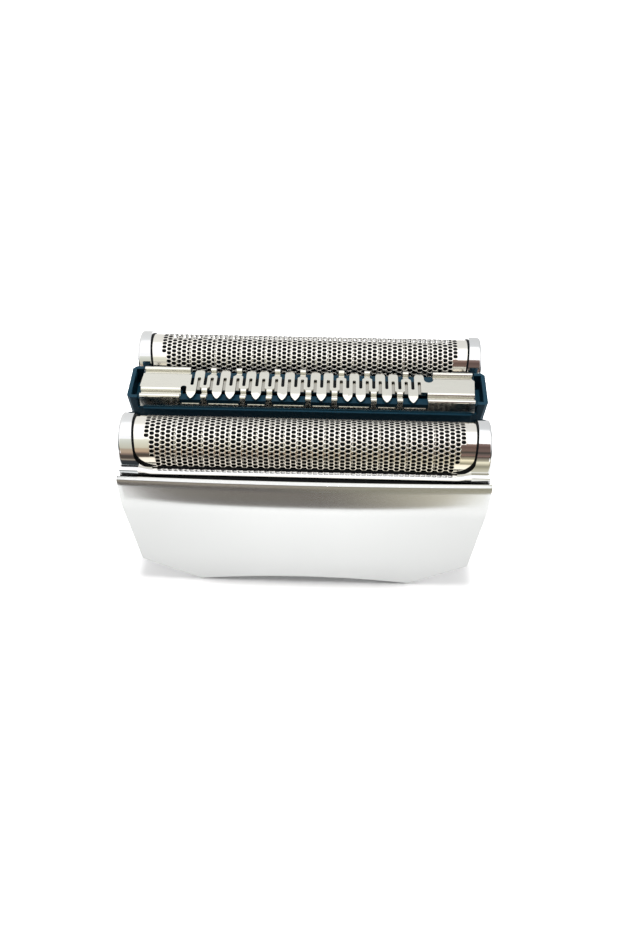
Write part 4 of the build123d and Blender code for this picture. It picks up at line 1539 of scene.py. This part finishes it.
    def build_sides(self) -> bpy.types.Object:
        """Draw both side walls as pierced sheets and thicken them inwards.

        Returns:
            The side walls as one object.
        """
        lean = self.side_taper / (self.top_z - self.corner_z)
        inset = self.bow + self.wall / 2
        bm = bmesh.new()
        for end in (-1, 1):
            rows = []
            for z in (self.corner_z, self.latch_low, self.latch_high, self.side_top):
                x = self.half_corner + (z - self.corner_z) * lean - self.side_recess - self.side_wall / 2
                reach = self.section[0][1] + self.foot_inset * z / (self.top_z - self.band_height) - inset
                spots = (-reach, -self.latch_half_width, self.latch_half_width, reach)
                rows.append([(end * x, y, z) for y in spots])
            verts = add_grid(bm, rows)
            window = (verts[1][1], verts[1][2], verts[2][2], verts[2][1])
            bm.faces.remove(next(face for face in bm.faces if set(face.verts) == set(window)))
        obj = mesh_object("shell_side_walls", bm)
        add_modifier(obj, "SOLIDIFY", thickness=self.side_wall * MM, offset=0.0)
        return settle(obj)

    def build(self, materials: dict[str, bpy.types.Material]) -> None:
        """Build the panels and side walls as one shell and dress it.

        Args:
            materials: The built materials.
        """
        bm = bmesh.new()
        for side in Side:
            self.add_panel(bm, side)
        sides = self.build_sides()
        sides.data.transform(Matrix.Scale(1 / MM, 4))
        bm.from_mesh(sides.data)
        remove(sides)
        obj = mesh_object("satin_shell", bm)
        add_modifier(
            obj,
            "BEVEL",
            width=self.edge_bevel * MM,
            segments=self.bevel_segments,
            limit_method="ANGLE",
            angle_limit=math.radians(self.bevel_degrees),
        )
        settle(obj, self.sharp_degrees)
        dress(obj, SILVER_PAINT, materials, Body.HEAD, "housing")
        # Inner and lower faces get the darker black: bare plastic, with painted shade behind the rim and
        # under the foot.
        line(obj, materials[BLACK_ACETAL_AND_SHADE.name], self.looks_inwards)


@dataclass
class BowSprings:
    """Six strips of spring steel, each bent to a bow under one end of a floating unit."""

    strip: float = 0.2
    foot: float = 0.7
    crown: float = 1.4
    bend: float = 0.7
    bend_steps: int = 6
    travel: float = 1.8
    joints: dict[str, str] = field(
        default_factory=lambda: {
            "front_foil": "front_foil_float",
            "trimmer": "trimmer_float",
            "rear_foil": "rear_foil_float",
        }
    )

    def build_spring(self, node: str) -> bpy.types.Object:
        """Bend one strip over the place of a packed spring.

        Args:
            node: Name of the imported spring.

        Returns:
            The strip as a plain mesh.
        """
        place = Extent.of(node)
        half = self.strip / 2
        low, high = place.low.z + half, place.high.z - half
        span = place.size.y / 2
        corners = [
            (-span, low),
            (-span + self.foot, low),
            (-self.crown / 2, high),
            (self.crown / 2, high),
            (span - self.foot, low),
            (span, low),
        ]
        path = rounded_path(corners, (self.bend,) * 4, self.bend_steps)
        rows = [[(x, place.centre.y + y, z) for x in (place.low.x, place.high.x)] for y, z in path]
        bm = bmesh.new()
        add_grid(bm, rows)
        obj = mesh_object(f"bent_{node}", bm)
        add_modifier(obj, "SOLIDIFY", thickness=self.strip * MM, offset=0.0, use_even_offset=True)
        return settle(obj, SHARP_DEGREES)

    def build(self, materials: dict[str, bpy.types.Material]) -> None:
        """Bend all six strips and dress each one.

        Args:
            materials: The built materials.
        """
        for unit, joint in self.joints.items():
            for end in ("left", "right"):
                node = f"{unit}_spring_{end}"
                place = Extent.of(node)
                obj = self.build_spring(node)
                dress(obj, SPRING_STEEL, materials, Body.HEAD, node)
                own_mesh(obj)


Ramp = tuple[tuple[float, str], ...]


@dataclass(frozen=True)
class Hollow:
    """Clear part of a card below an edge that bows up towards both ends; lengths in millimetres."""

    middle: float
    level: float
    rise: float
    half_width: float
    softness: float
    power: float = 2.6


@dataclass(frozen=True)
class Card:
    """A coloured studio card that only mirrors see: it stands upright between two points of the floor.

    Its colours run up a ramp of heights in millimetres, and blend into the right ramp, if there is one.
    """

    name: str
    start: Point
    end: Point
    left: Ramp
    right: Ramp = ()
    blend: Point = (-40.0, 40.0)
    hollow: Hollow | None = None
    strength: float = 1.34

    @staticmethod
    def ramp(
        tree: bpy.types.NodeTree, height: bpy.types.NodeSocket, stops: Ramp
    ) -> bpy.types.NodeSocket:
        """Colour by height, from a ramp of stops.

        Args:
            tree: Tree that gets the nodes.
            height: Height in metres.
            stops: Heights in millimetres and their colours.

        Returns:
            The colour.
        """
        low, high = stops[0][0], stops[-1][0]
        share = add_node(
            tree, "ShaderNodeMapRange", {"Value": height, "From Min": low * MM, "From Max": high * MM}
        )
        node = add_node(tree, "ShaderNodeValToRGB", {0: share})
        elements = node.color_ramp.elements
        for number, (stop, colour) in enumerate(stops):
            element = elements[number] if number < 2 else elements.new(1.0)
            element.position = (stop - low) / (high - low)
            element.color = linear(colour)
        return node.outputs[0]

    def clear_share(self, tree: bpy.types.NodeTree, across: bpy.types.Node) -> bpy.types.NodeSocket:
        """Share of the card that is there, which fades out below the hollow's bowed edge.

        Args:
            tree: Tree that gets the nodes.
            across: Node that gives the place on the card, in metres.

        Returns:
            One above the edge and zero below it.
        """
        hollow = self.hollow
        middle, level, rise, half_width, softness = (
            length * MM
            for length in (hollow.middle, hollow.level, hollow.rise, hollow.half_width, hollow.softness)
        )
        x, z = across.outputs["X"], across.outputs["Z"]
        offset = add_node(tree, "ShaderNodeMath", {0: x, 1: middle}, operation="SUBTRACT")
        distance = add_node(tree, "ShaderNodeMath", {0: offset}, operation="ABSOLUTE")
        reach = add_node(tree, "ShaderNodeMath", {0: distance, 1: half_width}, operation="DIVIDE")
        bowed = add_node(tree, "ShaderNodeMath", {0: reach, 1: hollow.power}, operation="POWER")
        edge = add_node(tree, "ShaderNodeMath", {0: bowed, 1: rise, 2: level}, operation="MULTIPLY_ADD")
        above = add_node(tree, "ShaderNodeMath", {0: z, 1: edge}, operation="SUBTRACT")
        share = add_node(
            tree,
            "ShaderNodeMapRange",
            {"Value": above, "From Min": -softness, "From Max": softness},
            interpolation_type="SMOOTHSTEP",
        )
        return share.outputs[0]

    def build(self) -> None:
        """Stand the card up and paint it."""
        low, high = self.left[0][0], self.left[-1][0]
        bm = bmesh.new()
        add_grid(bm, [[(x, y, z) for x, y in (self.start, self.end)] for z in (low, high)])
        obj = mesh_object(self.name, bm)
        material = bpy.data.materials.new(f"{self.name}_paint")
        material.cycles.emission_sampling = "NONE"
        material.use_nodes = True
        tree = material.node_tree
        tree.nodes.clear()
        place = add_node(tree, "ShaderNodeTexCoord")
        across = add_node(tree, "ShaderNodeSeparateXYZ", {0: place.outputs["Object"]})
        share = add_node(
            tree,
            "ShaderNodeMapRange",
            {
                "Value": across.outputs["X"],
                "From Min": self.blend[0] * MM,
                "From Max": self.blend[1] * MM,
            },
            interpolation_type="SMOOTHSTEP",
        )
        ramps = (self.left, self.right or self.left)
        colours = [self.ramp(tree, across.outputs["Z"], stops) for stops in ramps]
        tint = add_node(
            tree, "ShaderNodeMix", {0: share.outputs[0], 6: colours[0], 7: colours[1]}, data_type="RGBA"
        )
        paint = add_node(tree, "ShaderNodeEmission", {"Color": tint.outputs[2], "Strength": self.strength})
        surface = paint
        if self.hollow:
            clear = add_node(tree, "ShaderNodeBsdfTransparent")
            surface = add_node(
                tree, "ShaderNodeMixShader", {0: self.clear_share(tree, across), 1: clear, 2: paint}
            )
        add_node(tree, "ShaderNodeOutputMaterial", {"Surface": surface})
        obj.data.materials.append(material)
        obj.visible_camera = False
        obj.visible_diffuse = False
        obj.visible_transmission = False
        obj.visible_shadow = False


@dataclass(frozen=True)
class Lamp:
    """A square soft lamp that faces the piece and that mirrors do not see; lengths in millimetres."""

    name: str
    place: tuple[float, float, float]
    size: float
    watts: float

    def build(self) -> None:
        """Hang the lamp and turn it to the origin."""
        data = bpy.data.lights.new(self.name, "AREA")
        data.shape = "SQUARE"
        data.size = self.size * MM
        data.energy = self.watts
        lamp = bpy.data.objects.new(self.name, data)
        lamp.location = Vector(self.place) * MM
        lamp.rotation_euler = (-Vector(self.place)).to_track_quat("-Z", "Y").to_euler()
        lamp.visible_camera = False
        lamp.visible_glossy = False
        bpy.context.scene.collection.objects.link(lamp)


@dataclass(frozen=True)
class Studio:
    """White floor, white sky and the photograph's camera."""

    camera_place: tuple[float, float, float] = (3.97, -101.08, 106.2)
    camera_pitch: float = 43.99
    camera_yaw: float = -2.09
    camera_roll: float = 0.11
    focal_px: float = 1084.16
    frame_height_px: int = 930
    sensor_mm: float = 36.0
    floor_half: float = 3000.0
    floor_colour: str = "#F4F4F4"
    floor_lift: float = 0.07
    # The floor as mirrors see it: its glow falls towards the piece and its ends, a painted shade in
    # reflections.
    mirrored_colour: str = "#707070"
    mirrored_near: float = 1.13
    mirrored_far: float = 1.44
    mirrored_reach: Point = (12.5, 28.0)
    mirrored_ends: Point = (5.0, 21.0)
    mirrored_end_share: float = 0.86
    mirrored_rear_share: float = 0.84
    far_fade: Point = (120.0, 400.0)
    sky_strength: float = 0.29
    tent_strength: float = 1.34
    zenith_strength: float = 1.75
    zenith_rise: Point = (0.78, 0.97)

    def add_camera(self) -> None:
        """Place the camera and make it the scene's own."""
        pitch, yaw, roll = (
            math.radians(angle) for angle in (self.camera_pitch, self.camera_yaw, self.camera_roll)
        )
        ahead = Vector((math.sin(yaw) * math.cos(pitch), math.cos(yaw) * math.cos(pitch), -math.sin(pitch)))
        level = Vector((math.cos(yaw), -math.sin(yaw), 0))
        down = ahead.cross(level)
        right = level * math.cos(roll) + down * math.sin(roll)
        below = down * math.cos(roll) - level * math.sin(roll)
        data = bpy.data.cameras.new("photo_camera")
        data.sensor_fit = "VERTICAL"
        data.sensor_height = self.sensor_mm
        data.lens = self.focal_px / self.frame_height_px * self.sensor_mm
        data.clip_start = MM
        camera = bpy.data.objects.new("photo_camera", data)
        camera.matrix_world = Matrix.Translation(Vector(self.camera_place) * MM) @ Matrix(
            (right, -below, -ahead)
        ).transposed().to_4x4()
        bpy.context.scene.collection.objects.link(camera)
        bpy.context.scene.camera = camera

    def add_floor(self) -> None:
        """Lay a matt floor that is lifted to pure white, also far off.

        In mirrors it darkens towards the piece and its ends, a painted shade that stands in for the piece's
        shadow there, and is dimmer behind it.
        """
        bm = bmesh.new()
        half = self.floor_half
        add_grid(bm, [[(x, y, 0) for x in (-half, half)] for y in (-half, half)])
        obj = mesh_object("studio_floor", bm)
        material = bpy.data.materials.new("matt_white_paper")
        material.cycles.emission_sampling = "NONE"
        material.use_nodes = True
        tree = material.node_tree
        tree.nodes.clear()
        ray = add_node(tree, "ShaderNodeLightPath")
        place = add_node(tree, "ShaderNodeTexCoord")
        spot = add_node(tree, "ShaderNodeSeparateXYZ", {0: place.outputs["Object"]})
        distance = add_node(tree, "ShaderNodeMath", {0: spot.outputs["Y"]}, operation="ABSOLUTE")
        length = add_node(tree, "ShaderNodeMath", {0: spot.outputs["X"]}, operation="ABSOLUTE")
        # Painted shade in mirrors: the floor's glow falls towards the piece's ends and towards the piece.
        ends = add_node(
            tree,
            "ShaderNodeMapRange",
            {
                "Value": length,
                "From Min": self.mirrored_ends[0] * MM,
                "From Max": self.mirrored_ends[1] * MM,
                "To Min": 1.0,
                "To Max": self.mirrored_end_share,
            },
        )
        lift_by_distance = add_node(
            tree,
            "ShaderNodeMapRange",
            {
                "Value": distance,
                "From Min": self.mirrored_reach[0] * MM,
                "From Max": self.mirrored_reach[1] * MM,
                "To Min": self.mirrored_near,
                "To Max": self.mirrored_far,
            },
            interpolation_type="SMOOTHSTEP",
        )
        front_lift = add_node(tree, "ShaderNodeMath", {0: lift_by_distance, 1: ends}, operation="MULTIPLY")
        behind = add_node(tree, "ShaderNodeMath", {0: spot.outputs["Y"], 1: 0.0}, operation="GREATER_THAN")
        share = add_node(
            tree, "ShaderNodeMapRange", {"Value": behind, "To Min": 1.0, "To Max": self.mirrored_rear_share}
        )
        mirrored_lift = add_node(tree, "ShaderNodeMath", {0: front_lift, 1: share}, operation="MULTIPLY")
        reach = add_node(tree, "ShaderNodeVectorMath", {0: place.outputs["Object"]}, operation="LENGTH")
        fade = add_node(
            tree,
            "ShaderNodeMapRange",
            {
                "Value": reach.outputs["Value"],
                "From Min": self.far_fade[0] * MM,
                "From Max": self.far_fade[1] * MM,
                "To Min": self.floor_lift,
                "To Max": 1.0,
            },
        )
        seen_lift = add_node(
            tree, "ShaderNodeMix", {0: ray.outputs["Is Camera Ray"], 2: self.floor_lift, 3: fade.outputs[0]}
        )
        looks = []
        for colour, lift in (
            (self.floor_colour, seen_lift.outputs[0]),
            (self.mirrored_colour, mirrored_lift),
        ):
            paper = add_node(tree, "ShaderNodeBsdfDiffuse", {"Color": linear(colour), "Roughness": 1.0})
            glow = add_node(tree, "ShaderNodeEmission", {"Strength": lift})
            looks.append(add_node(tree, "ShaderNodeAddShader", {0: paper, 1: glow}))
        both = add_node(
            tree, "ShaderNodeMixShader", {0: ray.outputs["Is Glossy Ray"], 1: looks[0], 2: looks[1]}
        )
        add_node(tree, "ShaderNodeOutputMaterial", {"Surface": both})
        obj.data.materials.append(material)

    def add_sky(self) -> None:
        """Light the scene from all round, brightest overhead in mirrors, and show plain white behind it."""
        world = bpy.data.worlds.new("white_tent")
        world.use_nodes = True
        tree = world.node_tree
        tree.nodes.clear()
        ray = add_node(tree, "ShaderNodeLightPath")
        place = add_node(tree, "ShaderNodeTexCoord")
        height = add_node(tree, "ShaderNodeSeparateXYZ", {0: place.outputs["Generated"]})
        tent = add_node(
            tree,
            "ShaderNodeMapRange",
            {
                "Value": height.outputs["Z"],
                "From Min": self.zenith_rise[0],
                "From Max": self.zenith_rise[1],
                "To Min": self.tent_strength,
                "To Max": self.zenith_strength,
            },
        )
        mirrored = add_node(
            tree,
            "ShaderNodeMix",
            {0: ray.outputs["Is Glossy Ray"], 2: self.sky_strength, 3: tent.outputs[0]},
        )
        strength = add_node(
            tree, "ShaderNodeMix", {0: ray.outputs["Is Camera Ray"], 2: mirrored.outputs[0], 3: 1.0}
        )
        light = add_node(
            tree,
            "ShaderNodeBackground",
            {"Color": linear("#FFFFFF"), "Strength": strength.outputs[0]},
        )
        add_node(tree, "ShaderNodeOutputWorld", {"Surface": light})
        bpy.context.scene.world = world

    def build(self, cards: Sequence[Card], lamps: Sequence[Lamp]) -> None:
        """Set up the camera, floor, sky, cards and lamps."""
        bpy.context.scene.view_settings.view_transform = "Standard"
        self.add_camera()
        self.add_floor()
        self.add_sky()
        for piece in (*cards, *lamps):
            piece.build()


LAMPS = (
    Lamp(name="overhead_softbox", place=(0.0, -10.0, 400.0), size=95.0, watts=2.4),
    Lamp(name="left_fill", place=(-250.0, 30.0, 90.0), size=160.0, watts=1.4),
    Lamp(name="right_fill", place=(250.0, 30.0, 90.0), size=160.0, watts=1.4),
)

CARDS = (
    Card(
        name="rear_card",
        start=(-260.0, 90.0),
        end=(260.0, 90.0),
        left=((0.0, "#DCDCDA"), (150.0, "#EAEBEA"), (215.0, "#FFFFFF")),
        right=((0.0, "#C8C9C9"), (150.0, "#D2D4D5"), (215.0, "#FFFFFF")),
        blend=(-120.0, 120.0),
    ),
    # A card just in front of the panel's rim, seen only in mirrors: painted shade and painted reflections
    # on the panel's top band, the caps and the foil.
    Card(
        name="shade_card",
        start=(-30.0, -13.7),
        end=(30.0, -13.7),
        left=(
            (16.9, "#5A544E"),
            (17.2, "#5A544E"),
            (17.55, "#A09688"),
            (18.3, "#50463F"),
            (19.3, "#4C4742"),
            (19.95, "#907B6E"),
        ),
        right=(
            (16.9, "#B0AB95"),
            (18.25, "#94917E"),
            (18.9, "#BAB49C"),
            (19.5, "#E8E2C8"),
            (19.95, "#F1EBCF"),
        ),
        blend=(-8.0, 22.0),
    ),
    # Glowing cards inside the gap between the frame's rails and the panel, seen only in mirrors: painted
    # reflections on the rails and the foil's lower rows.
    Card(
        name="middle_gap_card",
        start=(-19.4, -12.2),
        end=(19.4, -12.2),
        left=((17.75, "#FFFBF2"), (18.7, "#F4EEE4"), (18.95, "#8A8178")),
        right=((17.75, "#FFFCF0"), (18.7, "#F4EEDC"), (18.95, "#9A9580")),
        blend=(-8.0, 22.0),
    ),
    Card(
        name="left_gap_card",
        start=(-24.0, -12.2),
        end=(-19.4, -12.2),
        left=((17.3, "#D8DEDE"), (17.86, "#E6EAEA"), (17.94, "#2C3538"), (18.75, "#3C3C3E")),
    ),
    Card(
        name="right_gap_card",
        start=(19.4, -12.2),
        end=(24.0, -12.2),
        left=((17.3, "#E2E2DA"), (17.98, "#F0F0EA"), (18.08, "#CBC7B4"), (18.75, "#B0AB95")),
    ),
    Card(
        name="low_front_card",
        start=(-60.0, -31.0),
        end=(60.0, -31.0),
        left=(
            (0.0, "#6A665D"),
            (12.0, "#66615A"),
            (15.0, "#6E6158"),
            (19.0, "#B39D88"),
            (24.0, "#AFA08C"),
        ),
        right=(
            (0.0, "#9A9683"),
            (12.0, "#BFB8A2"),
            (15.0, "#F1EBCF"),
            (18.0, "#A49F8C"),
            (24.0, "#483D3B"),
        ),
        blend=(0.0, 24.0),
        hollow=Hollow(middle=-1.2, level=5.3, rise=8.0, half_width=24.5, softness=0.6),
    ),
    Card(
        name="high_front_card",
        start=(-130.0, -70.0),
        end=(130.0, -70.0),
        left=(
            (22.0, "#B09C87"),
            (27.0, "#ADA18E"),
            (36.0, "#C5C3B2"),
            (66.0, "#D1D3C7"),
            (90.0, "#E0E2D8"),
            (92.0, "#FFFFFF"),
            (130.0, "#FFFFFF"),
        ),
        right=(
            (22.0, "#483D3B"),
            (31.0, "#816860"),
            (40.0, "#6B5E58"),
            (49.0, "#403D39"),
            (59.0, "#705E57"),
            (86.0, "#62504B"),
            (130.0, "#917A72"),
        ),
        blend=(2.0, 26.0),
    ),
    Card(
        name="left_card",
        start=(-90.0, -100.0),
        end=(-90.0, 40.0),
        left=((0.0, "#1E2C33"), (30.0, "#2C3A40")),
    ),
    Card(
        name="right_card",
        start=(90.0, -100.0),
        end=(90.0, 40.0),
        left=((0.0, "#1E2C33"), (30.0, "#2C3A40")),
    ),
)


def main() -> None:
    """Build every piece in order and set up the studio."""
    logging.basicConfig(level=logging.INFO, format="%(message)s")
    materials = {finish.name: finish.build() for finish in FINISHES}
    shapes = {"row_of_copies": row_of_copies(), "pierced_arch": pierced_arch()}
    Housing().build(materials)
    for side in Side:
        FoilUnit(side).build(shapes, materials)
    comb = TrimmerComb()
    comb.build(materials)
    TrimmerBlade().build(comb, shapes["row_of_copies"], materials)
    paint_mouldings(materials)
    BowSprings().build(materials)
    Studio().build(CARDS, LAMPS)


if __name__ == "__main__":
    main()
